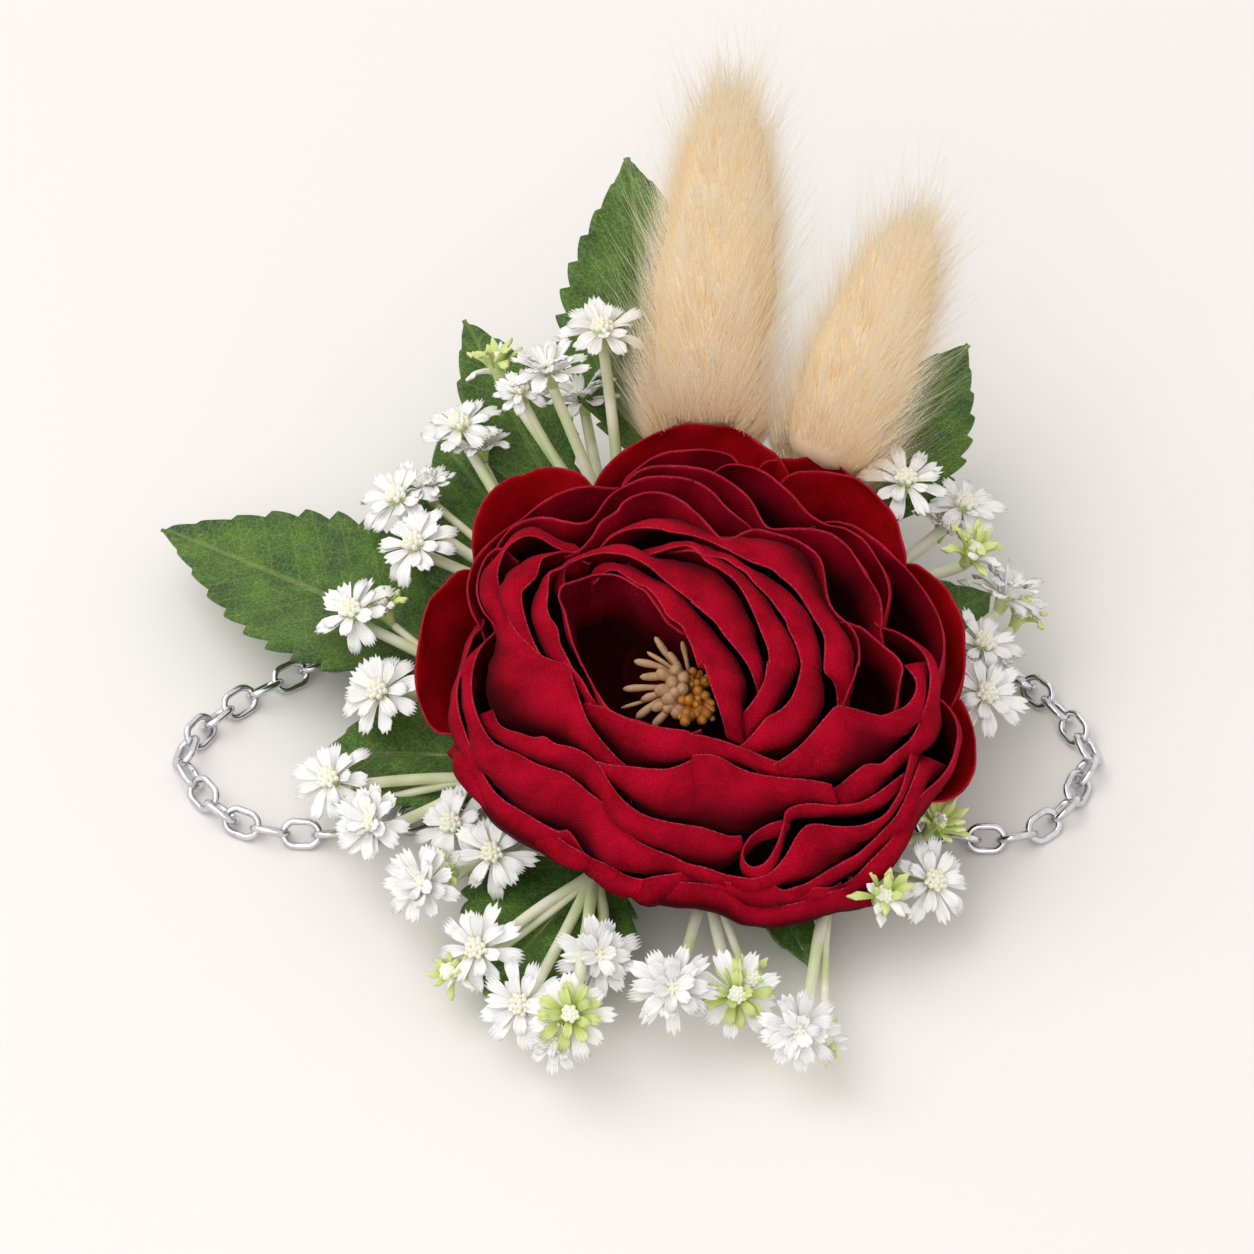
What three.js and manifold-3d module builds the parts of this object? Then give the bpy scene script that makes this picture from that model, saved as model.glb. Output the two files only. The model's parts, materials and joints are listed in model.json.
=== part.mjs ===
// Wrist corsage: a large cloth flower, leaves, gypsophila sprays and two bunny tails on a felt-backed
// plate, with a cable-chain bracelet that ends in a jump ring and a lobster clasp.
// Millimetres, +Z up. The origin is the middle of the felt pad's underside, and the front is -Y.

import * as THREE from 'three';
import { mergeVertices } from 'three/addons/utils/BufferGeometryUtils.js';
import Module from 'manifold-3d';

const wasm = await Module();
wasm.setup();

// Clearances and cutting
const seatGap = 0.3;
const pinClearance = 0.1;
const cutOverrun = 1;

// Felt pad and steel plate
const feltInset = 0.3;
const feltThickness = 1.2;
const plateRadius = 14.8;
const plateThickness = 0.8;
const plateEdgeRound = 0.25;
const roundSides = 28;

// Bound knot of stalks on the plate
const knotRadius = 10;
const knotHeight = 4;
const knotShoulder = 0.6;

// Flower
const flowerRadius = 30.8;
const flowerTilt = THREE.MathUtils.degToRad(14);
const flowerForward = 2.3;
const neckRadius = 3;
const calyxRadius = 7.5;
const calyxDepth = 2;
const calyxLip = 0.7;
const pegRadius = 1.5;
const petalThickness = 0.5;
const petalSpacing = 0.85;
const petalHoleClearance = 0.4;
const stamenDomeRadius = 2.6;
const stamenLength = 5.2;
const stamenThickness = 0.8;

// Leaves, stalks, flower heads and bunny tails
const leafThickness = 0.6;
const petioleWidth = 2;
const leafLift = 0.45;
const leafBroadestPower = 0.8;
const leafToothShare = 0.13;
const leafFoldShare = 0.12;
const stalkRadius = 0.65;
const branchRadius = 0.5;
const headRadius = 4.1;
const headDepth = 3;
const floretPetals = 6;
const floretNotchShare = 0.66;
const floretWellShare = 0.6;
const floretJoinShare = 0.33;
const floretLean = 1.1;
const tailRadius = 7.2;
const tailLength = 39;
const tailStemRadius = 0.75;

// Bracelet chain
const linkLength = 4.8;
const linkWidth = 3.55;
const wireRadius = 0.41;
const wireSides = 5;
const linkSteps = 8;
const fuseDepth = 0.1;
const hingeSlack = 0.4;
const floorClearance = 0.03;
const fastenerGap = 2;
const loopLeftReach = 56.4;
const loopRightReach = 43.6;
const loopBackReach = 27;
const loopFrontReach = 8.8;

// Jump ring and clasp
const ringRadius = 2.5;
const claspRadius = 3.1;
const claspHoleRadius = 1.75;
const claspThickness = 2.6;
const claspLength = 6.2;
const eyeRadius = 1.75;
const eyeHoleRadius = 0.95;
const eyeThickness = 0.9;
const claspNeckWidth = 2.2;
const leverThickness = 1.1;
const knuckleRadius = 0.95;
const pinRadius = 0.35;
const claspSides = 16;

// Sizes that follow from the stack and from the fits
const feltRadius = plateRadius - feltInset;
const plateBase = feltThickness + seatGap;
const plateMiddle = plateBase + plateThickness / 2;
const knotBase = plateBase + plateThickness + seatGap;
const knotTop = knotBase + knotHeight;
const leafRootHeight = knotBase + knotShoulder + leafThickness + leafLift;
const stalkRootHeight = knotTop - knotShoulder - stalkRadius;
const flowerHeight = knotTop + seatGap + neckRadius;
const wireThickness = 2 * wireRadius;
const linkHalf = linkLength / 2 - wireRadius;
const linkSide = linkWidth / 2 - wireRadius;
const claspMiddle = claspThickness / 2 + seatGap / 2 + floorClearance;
const eyeletCentre = plateRadius + linkSide;

const felt = new THREE.MeshStandardMaterial({ color: 0xe9e2d6, roughness: 0.95, metalness: 0 });
const steel = new THREE.MeshStandardMaterial({ color: 0xc9c9cc, roughness: 0.22, metalness: 1 });
const tape = new THREE.MeshStandardMaterial({ color: 0x5d7a3c, roughness: 0.8, metalness: 0 });
const redCloth = new THREE.MeshStandardMaterial({ color: 0x8c0716, roughness: 0.75, metalness: 0 });
const yellowPlastic = new THREE.MeshStandardMaterial({ color: 0xd79a2b, roughness: 0.55, metalness: 0 });
const leafCloth = new THREE.MeshStandardMaterial({ color: 0x2f5a26, roughness: 0.65, metalness: 0 });
const whitePlastic = new THREE.MeshStandardMaterial({ color: 0xf3f2ec, roughness: 0.5, metalness: 0 });
const creamFluff = new THREE.MeshStandardMaterial({ color: 0xe8cfae, roughness: 0.9, metalness: 0 });
const driedStem = new THREE.MeshStandardMaterial({ color: 0xc9b98a, roughness: 0.8, metalness: 0 });

const corsage = new THREE.Group();

// Makes one named sub-part and hangs it in a group.
function addPart(parent, name, geometry, material) {
  const mesh = new THREE.Mesh(geometry, material);
  mesh.name = name;
  parent.add(mesh);
  return mesh;
}

// A closed geometry as a solid for joining and cutting.
function solidOf(geometry) {
  const bare = geometry.clone();
  bare.deleteAttribute('normal');
  bare.deleteAttribute('uv');
  const merged = mergeVertices(bare);
  return new wasm.Manifold(new wasm.Mesh({
    numProp: 3,
    vertProperties: new Float32Array(merged.attributes.position.array),
    triVerts: new Uint32Array(merged.index.array),
  }));
}

function geometryOf(solid) {
  const mesh = solid.getMesh();
  const geometry = new THREE.BufferGeometry();
  geometry.setAttribute('position', new THREE.BufferAttribute(mesh.vertProperties, 3));
  geometry.setIndex(new THREE.BufferAttribute(mesh.triVerts, 1));
  return geometry;
}

function fuse(geometries) {
  return geometryOf(geometries.map(solidOf).reduce((whole, piece) => whole.add(piece)));
}

function cut(geometry, tools) {
  return geometryOf(tools.map(solidOf).reduce((whole, tool) => whole.subtract(tool), solidOf(geometry)));
}

// Rings of points, all of one count, skinned into a closed body. The last ring may close on the first.
function skin(rings, isLoop = false) {
  const count = rings[0].length;
  const positions = rings.flat().flatMap((point) => point.toArray());
  const faces = [];
  const bands = isLoop ? rings.length : rings.length - 1;
  for (let band = 0; band < bands; band += 1) {
    const near = band * count;
    const far = ((band + 1) % rings.length) * count;
    for (let step = 0; step < count; step += 1) {
      const next = (step + 1) % count;
      faces.push(near + step, near + next, far + next, near + step, far + next, far + step);
    }
  }
  if (!isLoop) {
    const last = (rings.length - 1) * count;
    for (let step = 1; step < count - 1; step += 1) {
      faces.push(0, step + 1, step, last, last + step, last + step + 1);
    }
  }
  const geometry = new THREE.BufferGeometry();
  geometry.setAttribute('position', new THREE.Float32BufferAttribute(positions, 3));
  geometry.setIndex(faces);
  return geometry;
}

// A body of revolution about +Z from [radius, height] pairs that start and end on the axis.
function revolve(profile, sides) {
  const points = profile.map(([radius, height]) => new THREE.Vector2(radius, height));
  return new THREE.LatheGeometry(points, sides).rotateX(Math.PI / 2);
}

// A tube of a few sides through the given points.
function tube(points, radius, sides, steps) {
  const section = new THREE.Shape();
  for (let side = 0; side < sides; side += 1) {
    const angle = (side / sides) * 2 * Math.PI;
    const x = radius * Math.cos(angle);
    const y = radius * Math.sin(angle);
    if (side === 0) section.moveTo(x, y);
    else section.lineTo(x, y);
  }
  const path = new THREE.CatmullRomCurve3(points);
  return new THREE.ExtrudeGeometry(section, { steps, extrudePath: path, bevelEnabled: false });
}

// A flat outline with a thickness, centred on z = 0.
function slab(shape, thickness) {
  const settings = { depth: thickness, bevelEnabled: false, curveSegments: claspSides / 2 };
  return new THREE.ExtrudeGeometry(shape, settings).translate(0, 0, -thickness / 2);
}

// Headings are compass angles from the back, +Y, towards the right, +X.
function onHeading(degrees, reach, height) {
  const angle = THREE.MathUtils.degToRad(degrees);
  return new THREE.Vector3(reach * Math.sin(angle), reach * Math.cos(angle), height);
}

// Felt pad: a plain die-cut disc that the corsage rests on.
function buildFelt() {
  const profile = [[0, 0], [feltRadius, 0], [feltRadius, feltThickness], [0, feltThickness]];
  addPart(corsage, 'felt_pad', revolve(profile, roundSides), felt);
}

// Steel plate with a wire eyelet on each side for the chain.
function buildPlate() {
  const top = plateThickness;
  const inner = plateRadius - plateEdgeRound;
  const profile = [
    [0, 0], [inner, 0], [plateRadius, plateEdgeRound],
    [plateRadius, top - plateEdgeRound], [inner, top], [0, top],
  ];
  const disc = revolve(profile, roundSides).translate(0, 0, plateBase);
  const eyelets = [-1, 1].map((side) => {
    return wireRing(linkSide, linkSteps).translate(side * eyeletCentre, 0, plateMiddle);
  });
  addPart(corsage, 'base_plate', fuse([disc, ...eyelets]), steel);
}

// Knot of stalks bound with floral tape, which the flower's neck sits on.
function buildKnot() {
  const foot = knotRadius - knotShoulder;
  const profile = [
    [0, 0], [foot, 0], [knotRadius, knotShoulder], [knotRadius, knotHeight - knotShoulder],
    [foot, knotHeight], [0, knotHeight],
  ];
  addPart(corsage, 'stem_knot', revolve(profile, roundSides).translate(0, 0, knotBase), tape);
}

// Calyx with a round neck below and the peg that the petal whorls are threaded on above.
function buildCalyx(flower, pegTop) {
  const neck = [];
  const neckSteps = 4;
  for (let step = 0; step <= neckSteps; step += 1) {
    const angle = (step / neckSteps) * (Math.PI / 2);
    neck.push([neckRadius * Math.sin(angle), -neckRadius * Math.cos(angle)]);
  }
  const cup = calyxDepth - calyxLip;
  const profile = [...neck, [calyxRadius, cup], [calyxRadius, calyxDepth], [pegRadius, calyxDepth]];
  profile.push([pegRadius, pegTop], [0, pegTop]);
  const calyxSides = 12;
  addPart(flower, 'flower_calyx', revolve(profile, calyxSides), tape);
}

// One die-cut whorl: a thin cup with a hole for the peg, cut into petals at the rim and ruffled.
function whorlGeometry(whorl) {
  const stepsPerPetal = 5;
  const profileShares = [0, 0.4, 0.75, 1];
  const around = whorl.petals * stepsPerPetal;
  const holeRadius = pegRadius + petalHoleClearance;
  const rings = [];
  const edge = (angle, share, inside) => {
    const petalAngle = whorl.petals * (angle - whorl.phase) / 2;
    const lobe = Math.pow(Math.abs(Math.sin(petalAngle)), whorl.roundness);
    const reach = share * (1 - whorl.notchShare * (1 - lobe));
    const run = whorl.radius - holeRadius;
    const slope = Math.atan2(whorl.bend * whorl.rise * Math.pow(reach, whorl.bend - 1), run);
    const offset = inside ? petalThickness : 0;
    const wave = whorl.ruffle * share * share * Math.sin(whorl.waves * angle + whorl.wavePhase);
    const radius = holeRadius + run * reach - offset * Math.sin(slope) * share + wave / 2;
    const height = whorl.base + whorl.rise * Math.pow(reach, whorl.bend) + offset * Math.cos(slope) + wave;
    return new THREE.Vector3(radius * Math.cos(angle), radius * Math.sin(angle), height);
  };
  for (let step = 0; step < around; step += 1) {
    const angle = (step / around) * 2 * Math.PI;
    const inner = profileShares.map((share) => edge(angle, share, true));
    const outer = [...profileShares].reverse().map((share) => edge(angle, share, false));
    rings.push([...inner, ...outer]);
  }
  return skin(rings, true);
}

// Whorls from the outermost in: radius and rise are shares of the flower's radius.
const whorlShares = [
  { radius: 1.0, rise: 0.21, bend: 1.9, petals: 6, phase: 0.2, waves: 9, wavePhase: 0.4, ruffle: 0.03 },
  { radius: 0.91, rise: 0.26, bend: 1.9, petals: 6, phase: 0.75, waves: 11, wavePhase: 1.3, ruffle: 0.03 },
  { radius: 0.79, rise: 0.3, bend: 1.9, petals: 5, phase: 0.1, waves: 8, wavePhase: 2.2, ruffle: 0.03 },
  { radius: 0.64, rise: 0.33, bend: 1.9, petals: 5, phase: 0.8, waves: 9, wavePhase: 0.9, ruffle: 0.028 },
  { radius: 0.47, rise: 0.35, bend: 2.0, petals: 5, phase: 0.3, waves: 7, wavePhase: 1.8, ruffle: 0.02 },
  { radius: 0.3, rise: 0.37, bend: 2.2, petals: 5, phase: 1.0, waves: 6, wavePhase: 0.2, ruffle: 0.015 },
];
const petalNotchShare = 0.17;
const petalRoundness = 0.45;

function buildPetals(flower, petalBase) {
  whorlShares.forEach((shares, index) => {
    const geometry = whorlGeometry({
      radius: shares.radius * flowerRadius,
      rise: shares.rise * flowerRadius,
      ruffle: shares.ruffle * flowerRadius,
      bend: shares.bend,
      petals: shares.petals,
      phase: shares.phase,
      waves: shares.waves,
      wavePhase: shares.wavePhase,
      notchShare: petalNotchShare,
      roundness: petalRoundness,
      base: petalBase + index * petalSpacing,
    });
    addPart(flower, `petal_whorl_${index + 1}`, geometry, redCloth);
  });
}

// Moulded stamens: a dome with rings of short rods that splay from it.
function buildStamens(flower, base) {
  const domeSides = 10;
  const domeSteps = 3;
  const profile = [[0, 0]];
  for (let step = 0; step <= domeSteps; step += 1) {
    const angle = (step / domeSteps) * (Math.PI / 2);
    profile.push([stamenDomeRadius * Math.cos(angle), stamenThickness + stamenDomeRadius * Math.sin(angle)]);
  }
  const pieces = [revolve(profile, domeSides)];
  const ringTilts = [0.35, 0.95, 1.35];
  const rodsInRing = [3, 6, 7];
  ringTilts.forEach((tilt, ring) => {
    for (let rod = 0; rod < rodsInRing[ring]; rod += 1) {
      const turn = ((rod + ring / 2) / rodsInRing[ring]) * 2 * Math.PI;
      const shape = new THREE.ConeGeometry(stamenThickness / 2, stamenLength, 4);
      shape.rotateX(Math.PI);
      shape.translate(0, stamenLength / 2, 0).rotateX(Math.PI / 2).rotateY(tilt).rotateZ(turn);
      pieces.push(shape.translate(0, 0, stamenThickness + stamenDomeRadius * Math.cos(tilt) / 2));
    }
  });
  addPart(flower, 'stamen_cluster', fuse(pieces).translate(0, 0, base), yellowPlastic);
}

// The flower leans towards the front on its round neck.
function buildFlower() {
  const flower = new THREE.Group();
  flower.position.set(0, flowerForward, flowerHeight);
  flower.rotation.x = flowerTilt;
  corsage.add(flower);
  const petalBase = calyxDepth + seatGap;
  const pegTop = petalBase + whorlShares.length * petalSpacing;
  buildCalyx(flower, pegTop);
  buildPetals(flower, petalBase);
  buildStamens(flower, pegTop + seatGap);
}

// A serrated leaf with its stalk: a folded strip that curves along its midrib.
function leafGeometry(leaf) {
  const rings = [];
  const steps = 2 * leaf.teeth;
  const stalkLength = leaf.length * leaf.stalkShare;
  const bladeLength = leaf.length - stalkLength;
  const addRing = (x, halfWidth, fold, height) => {
    const edgeHeight = height + fold * halfWidth;
    rings.push([
      new THREE.Vector3(x, halfWidth, edgeHeight),
      new THREE.Vector3(x, 0, height),
      new THREE.Vector3(x, -halfWidth, edgeHeight),
      new THREE.Vector3(x, -halfWidth, edgeHeight - leafThickness),
      new THREE.Vector3(x, 0, height - leafThickness),
      new THREE.Vector3(x, halfWidth, edgeHeight - leafThickness),
    ]);
  };
  const arch = (x) => leaf.length * leaf.archShare * Math.sin((x / leaf.length) * Math.PI);
  addRing(0, petioleWidth / 2, 0, 0);
  for (let step = 0; step <= steps; step += 1) {
    const along = step / steps;
    const x = stalkLength + bladeLength * along;
    const outline = Math.sin(Math.PI * Math.pow(along, leafBroadestPower));
    const tooth = step % 2 === 0 ? 1 - leafToothShare : 1;
    const stalkHalf = (petioleWidth / 2) * (1 - along / 2);
    const halfWidth = Math.max(stalkHalf, (leaf.width / 2) * outline * tooth);
    addRing(x, halfWidth, leafFoldShare, arch(x));
  }
  return skin(rings);
}

// Heading in degrees, reach and width as shares of the flower's radius, rise of the tip in degrees.
const leafShares = [
  { name: 'leaf_left_large', heading: -61, tip: 2.2, width: 0.74, rise: 3, stalk: 0.3, arch: 0.02, teeth: 9 },
  { name: 'leaf_left_back', heading: -36, tip: 1.64, width: 0.58, rise: 8, stalk: 0.3, arch: 0.02, teeth: 7 },
  { name: 'leaf_back', heading: -4, tip: 2.2, width: 0.48, rise: 22, stalk: 0.45, arch: 0.01, teeth: 7 },
  { name: 'leaf_right_back', heading: 31, tip: 1.9, width: 0.5, rise: 16, stalk: 0.45, arch: 0.02, teeth: 7 },
  { name: 'leaf_right', heading: 58, tip: 1.3, width: 0.45, rise: 3, stalk: 0.4, arch: 0.02, teeth: 5 },
  { name: 'leaf_left', heading: -88, tip: 1.34, width: 0.6, rise: 0, stalk: 0.3, arch: 0.01, teeth: 6 },
  { name: 'leaf_front_left', heading: -146, tip: 1.34, width: 0.66, rise: 0, stalk: 0.25, arch: 0, teeth: 7 },
  { name: 'leaf_front', heading: 157, tip: 1.06, width: 0.2, rise: 0, stalk: 0.4, arch: 0.01, teeth: 4 },
];

function buildLeaves() {
  leafShares.forEach((shares) => {
    const root = knotRadius + seatGap;
    const rise = THREE.MathUtils.degToRad(shares.rise);
    const geometry = leafGeometry({
      length: (shares.tip * flowerRadius - root) / Math.cos(rise),
      width: shares.width * flowerRadius,
      stalkShare: shares.stalk,
      archShare: shares.arch,
      teeth: shares.teeth,
    });
    const mesh = addPart(corsage, shares.name, geometry, leafCloth);
    mesh.position.copy(onHeading(shares.heading, root, leafRootHeight));
    mesh.rotation.order = 'ZYX';
    mesh.rotation.set(0, -rise, THREE.MathUtils.degToRad(90 - shares.heading));
  });
}

// One moulded floret: a shallow star-rimmed cup on a point, opening along +Z.
function floretGeometry() {
  const positions = [0, 0, 0, 0, 0, headDepth * floretWellShare];
  const faces = [];
  const rimPoints = 2 * floretPetals;
  for (let step = 0; step < rimPoints; step += 1) {
    const angle = (step / rimPoints) * 2 * Math.PI;
    const reach = step % 2 === 0 ? headRadius : headRadius * floretNotchShare;
    positions.push(reach * Math.cos(angle), reach * Math.sin(angle), headDepth);
    const here = step + 2;
    const next = (step + 1) % rimPoints + 2;
    faces.push(0, next, here, 1, here, next);
  }
  const geometry = new THREE.BufferGeometry();
  geometry.setAttribute('position', new THREE.Float32BufferAttribute(positions, 3));
  geometry.setIndex(faces);
  return geometry;
}

// Sprays: a stalk to a fork, and a branch to each floret. Heads are [heading, reach, height], where
// reach and height are shares of the flower's radius and the heading is in degrees.
const sprayShares = [
  { name: 'spray_back_left', fork: [-19, 0.8, 0.36],
    heads: [[-13, 1.5, 0.9], [-18, 1.41, 0.56], [-25, 1.3, 0.87], [-29, 1.6, 0.69]] },
  { name: 'spray_left_back', fork: [-40, 0.8, 0.32],
    heads: [[-35, 1.56, 0.62], [-45, 1.52, 0.52], [-52, 1.24, 0.5]] },
  { name: 'spray_left', fork: [-72, 0.8, 0.26],
    heads: [[-66, 1.38, 0.46], [-79, 1.2, 0.38]] },
  { name: 'spray_left_front', fork: [-103, 0.75, 0.24],
    heads: [[-96, 1.36, 0.31], [-109, 1.25, 0.34]] },
  { name: 'spray_front_left', fork: [-125, 0.65, 0.22],
    heads: [[-116, 1, 0.27], [-133, 0.95, 0.28], [-125, 1.22, 0.3]] },
  { name: 'spray_front_low', fork: [-151, 0.7, 0.24],
    heads: [[-142, 1.28, 0.3], [-153, 1.4, 0.28], [-163, 1.51, 0.36], [-165, 1.08, 0.28]] },
  { name: 'spray_front', fork: [176, 0.6, 0.24],
    heads: [[-177, 1.24, 0.29], [171, 1.22, 0.27]] },
  { name: 'spray_front_right', fork: [139, 0.7, 0.22],
    heads: [[163, 1.44, 0.28], [144, 1.07, 0.31], [129, 1.12, 0.27], [116, 0.98, 0.33]] },
  { name: 'spray_right_back', fork: [46, 0.8, 0.36],
    heads: [[44, 1.2, 0.7], [47, 1.42, 0.52], [58, 1.23, 0.52]] },
  { name: 'spray_right', fork: [76, 0.75, 0.3],
    heads: [[62, 1.34, 0.39], [71, 1.13, 0.39], [86, 1.11, 0.41]] },
];

function buildSprays() {
  const place = ([heading, reach, height]) => onHeading(heading, reach * flowerRadius, height * flowerRadius);
  sprayShares.forEach((spray) => {
    const root = onHeading(spray.fork[0], knotRadius + seatGap, stalkRootHeight);
    const fork = place(spray.fork);
    const stalkSides = 4;
    const pieces = [tube([root, fork], stalkRadius, stalkSides, 1)];
    spray.heads.forEach((head) => {
      const middle = place(head);
      const outward = middle.clone().sub(fork).normalize();
      const axis = new THREE.Vector3(0, 0, 1).multiplyScalar(floretLean).add(outward).normalize();
      const foot = middle.clone().addScaledVector(axis, -headDepth / 2);
      const inside = foot.clone().addScaledVector(axis, headDepth * floretJoinShare);
      const start = fork.clone().addScaledVector(outward, -branchRadius);
      pieces.push(tube([start, inside], branchRadius, stalkSides, 1));
      const floret = floretGeometry();
      floret.applyQuaternion(new THREE.Quaternion().setFromUnitVectors(new THREE.Vector3(0, 0, 1), axis));
      pieces.push(floret.translate(foot.x, foot.y, foot.z));
    });
    addPart(corsage, spray.name, fuse(pieces), whitePlastic);
  });
}

// Bunny tails: a dried stem and an egg-shaped fluffy head. Lengths are shares of the tail's length.
const tailShares = [
  { name: 'left', root: -7, heading: 6, rise: 38, stem: 0.74, length: 1, radius: 1 },
  { name: 'right', root: 20, heading: 29, rise: 38, stem: 0.68, length: 0.8, radius: 0.9 },
];
const tailOutlineShares = [
  [0, 0], [0.3, 0.01], [0.72, 0.12], [0.96, 0.3], [1, 0.48], [0.86, 0.7], [0.56, 0.9], [0, 1],
];

function buildTails() {
  tailShares.forEach((shares) => {
    const stemLength = shares.stem * tailLength;
    const tail = new THREE.Group();
    tail.position.copy(onHeading(shares.root, knotRadius + seatGap + tailStemRadius, stalkRootHeight));
    tail.rotation.order = 'ZYX';
    const tilt = Math.PI / 2 - THREE.MathUtils.degToRad(shares.rise);
    tail.rotation.set(0, tilt, THREE.MathUtils.degToRad(90 - shares.heading));
    corsage.add(tail);
    const stemSides = 6;
    const stem = new THREE.CylinderGeometry(tailStemRadius, tailStemRadius, stemLength, stemSides);
    stem.rotateX(Math.PI / 2).translate(0, 0, stemLength / 2);
    addPart(tail, `tail_stem_${shares.name}`, stem, driedStem);
    const profile = tailOutlineShares.map(([radius, height]) => [
      radius * tailRadius * shares.radius, height * tailLength * shares.length,
    ]);
    const headSides = 12;
    const head = revolve(profile, headSides).translate(0, 0, stemLength + seatGap);
    addPart(tail, `tail_head_${shares.name}`, head, creamFluff);
  });
}

// A ring of wire in the XY plane whose flats face along X and Y.
function wireRing(radius, steps) {
  const corner = Math.PI / steps;
  const ring = new THREE.TorusGeometry(radius / Math.cos(corner), wireRadius, wireSides, steps);
  return ring.rotateZ(corner);
}

// One oval link in the XY plane, its length along X.
function linkGeometry() {
  const halfStraight = linkHalf - linkSide;
  const link = wireRing(linkSide, linkSteps);
  const position = link.attributes.position;
  for (let index = 0; index < position.count; index += 1) {
    position.setX(index, position.getX(index) + Math.sign(position.getX(index)) * halfStraight);
  }
  return link;
}

// Route shares: x of the side's reach, y of the back reach, or of the front reach where negative.
const leftRouteShares = [
  [0.31, 0], [0.42, -0.2], [0.53, -0.6], [0.66, -0.88], [0.8, -0.9], [0.9, -0.68], [0.975, -0.1],
  [1, 0.12], [0.975, 0.25], [0.9, 0.42], [0.76, 0.62], [0.58, 0.81], [0.36, 0.94], [0.16, 0.99],
  [0, 1], [-0.1, 1],
];
const rightRouteShares = [
  [0.4, 0], [0.48, -0.3], [0.6, -0.8], [0.72, -1], [0.85, -0.9], [0.94, -0.45], [0.985, 0.03],
  [1, 0.14], [0.975, 0.25], [0.89, 0.46], [0.76, 0.64], [0.58, 0.79], [0.38, 0.89], [0.18, 0.93],
];
const twistLinks = 3;
const leanAngle = Math.PI / 4;

// Where each run of links ends, as shares of all the links on its side, from the plate outwards.
const leftRunShares = [0.18, 0.33, 0.49, 0.64, 0.82, 1];
const rightRunShares = [0.26, 0.53, 0.79, 1];

// The line that one side of the bracelet follows on the table.
function chainRoute(side, reach, shares) {
  const points = shares.map(([across, back]) => new THREE.Vector3(
    side * across * reach, back * (back < 0 ? loopFrontReach : loopBackReach), 0,
  ));
  points[0].x = side * eyeletCentre;
  const route = new THREE.CatmullRomCurve3(points, false, 'centripetal');
  const routeSteps = 2000;
  route.arcLengthDivisions = routeSteps;
  return route;
}

// Distances of the link centres along a route that leaves room for the fastener: as many links as fit,
// in an odd number, so that the chain ends with a standing link. A run's first link hangs on the link
// before it with slack.
function linkDistances(routeLength, fastenerLength, runShares) {
  const tight = 2 * linkHalf - wireThickness * Math.cos(Math.PI / wireSides) + fuseDepth;
  const loose = 2 * linkHalf - wireThickness - hingeSlack;
  const start = linkSide - wireThickness - hingeSlack + linkHalf;
  const slackLoss = (runShares.length - 1) * (tight - loose);
  const pairs = Math.floor((routeLength - fastenerLength - start - linkHalf + slackLoss) / (2 * tight));
  const total = 2 * pairs + 1;
  const firstLinks = [0, ...runShares.slice(0, -1).map((share) => Math.round(share * total))];
  const distances = [start];
  for (let index = 1; index < total; index += 1) {
    distances.push(distances[index - 1] + (firstLinks.includes(index) ? loose : tight));
  }
  return { distances, firstLinks };
}

// Link places along one side of the bracelet. The links at its ends stand and lie in turn, and the ones
// between lean both ways by half a right angle, as a cable chain does on a table.
function linkPlaces(route, distances) {
  const total = distances.length;
  const restHeight = linkSide * Math.sin(leanAngle) + wireRadius + floorClearance;
  const standHeight = linkSide + wireRadius + floorClearance;
  return distances.map((along, index) => {
    const settled = Math.min(1, (index + 1) / twistLinks, (total - index) / twistLinks);
    const twist = leanAngle * settled;
    const roll = index % 2 === 0 ? twist - Math.PI / 2 : twist;
    const ownHeight = linkSide * Math.abs(Math.sin(roll)) + wireRadius + floorClearance;
    const height = Math.max(ownHeight, THREE.MathUtils.lerp(standHeight, restHeight, settled));
    const centre = route.getPointAt(along / route.getLength());
    const tangent = route.getTangentAt(along / route.getLength());
    centre.z = height;
    return { centre, tangent, roll };
  });
}

// The middle of the crossing between a link and what comes before it along the chain.
function crossingBefore(place) {
  const back = linkHalf - (wireThickness + hingeSlack) / 2;
  return place.centre.clone().addScaledVector(place.tangent, -back);
}

function placedLink(place) {
  const turn = new THREE.Matrix4().makeRotationZ(Math.atan2(place.tangent.y, place.tangent.x));
  const roll = new THREE.Matrix4().makeRotationX(place.roll);
  const shift = new THREE.Matrix4().setPosition(place.centre);
  return linkGeometry().applyMatrix4(shift.multiply(turn).multiply(roll));
}

// A side of the bracelet as runs of links. Each run turns about an upright line at its first crossing.
function buildChain(label, side, reach, shares, runShares, fastenerLength) {
  const route = chainRoute(side, reach, shares);
  const { distances, firstLinks } = linkDistances(route.getLength(), fastenerLength, runShares);
  const places = linkPlaces(route, distances);
  firstLinks.forEach((first, run) => {
    const links = places.slice(first, firstLinks[run + 1]);
    const pivot = crossingBefore(links[0]);
    const geometry = fuse(links.map(placedLink)).translate(-pivot.x, -pivot.y, -pivot.z);
    const mesh = addPart(corsage, `chain_${label}_${run + 1}`, geometry, steel);
    mesh.position.copy(pivot);
  });
  return places[places.length - 1];
}

// The pivot and heading of what hangs on the last link.
function chainEnd(lastPlace, height) {
  const reach = linkHalf - (wireThickness + hingeSlack) / 2;
  const pivot = lastPlace.centre.clone().addScaledVector(lastPlace.tangent, reach);
  pivot.z = height;
  return { pivot, heading: Math.atan2(lastPlace.tangent.y, lastPlace.tangent.x) };
}

function buildJumpRing(lastPlace) {
  const end = chainEnd(lastPlace, claspMiddle);
  const ring = wireRing(ringRadius - wireRadius, linkSteps + 2);
  ring.translate(ringRadius - wireRadius - (wireThickness + hingeSlack) / 2, 0, 0);
  const mesh = addPart(corsage, 'jump_ring', ring, steel);
  mesh.position.copy(end.pivot);
  mesh.rotation.z = end.heading;
}

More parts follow.
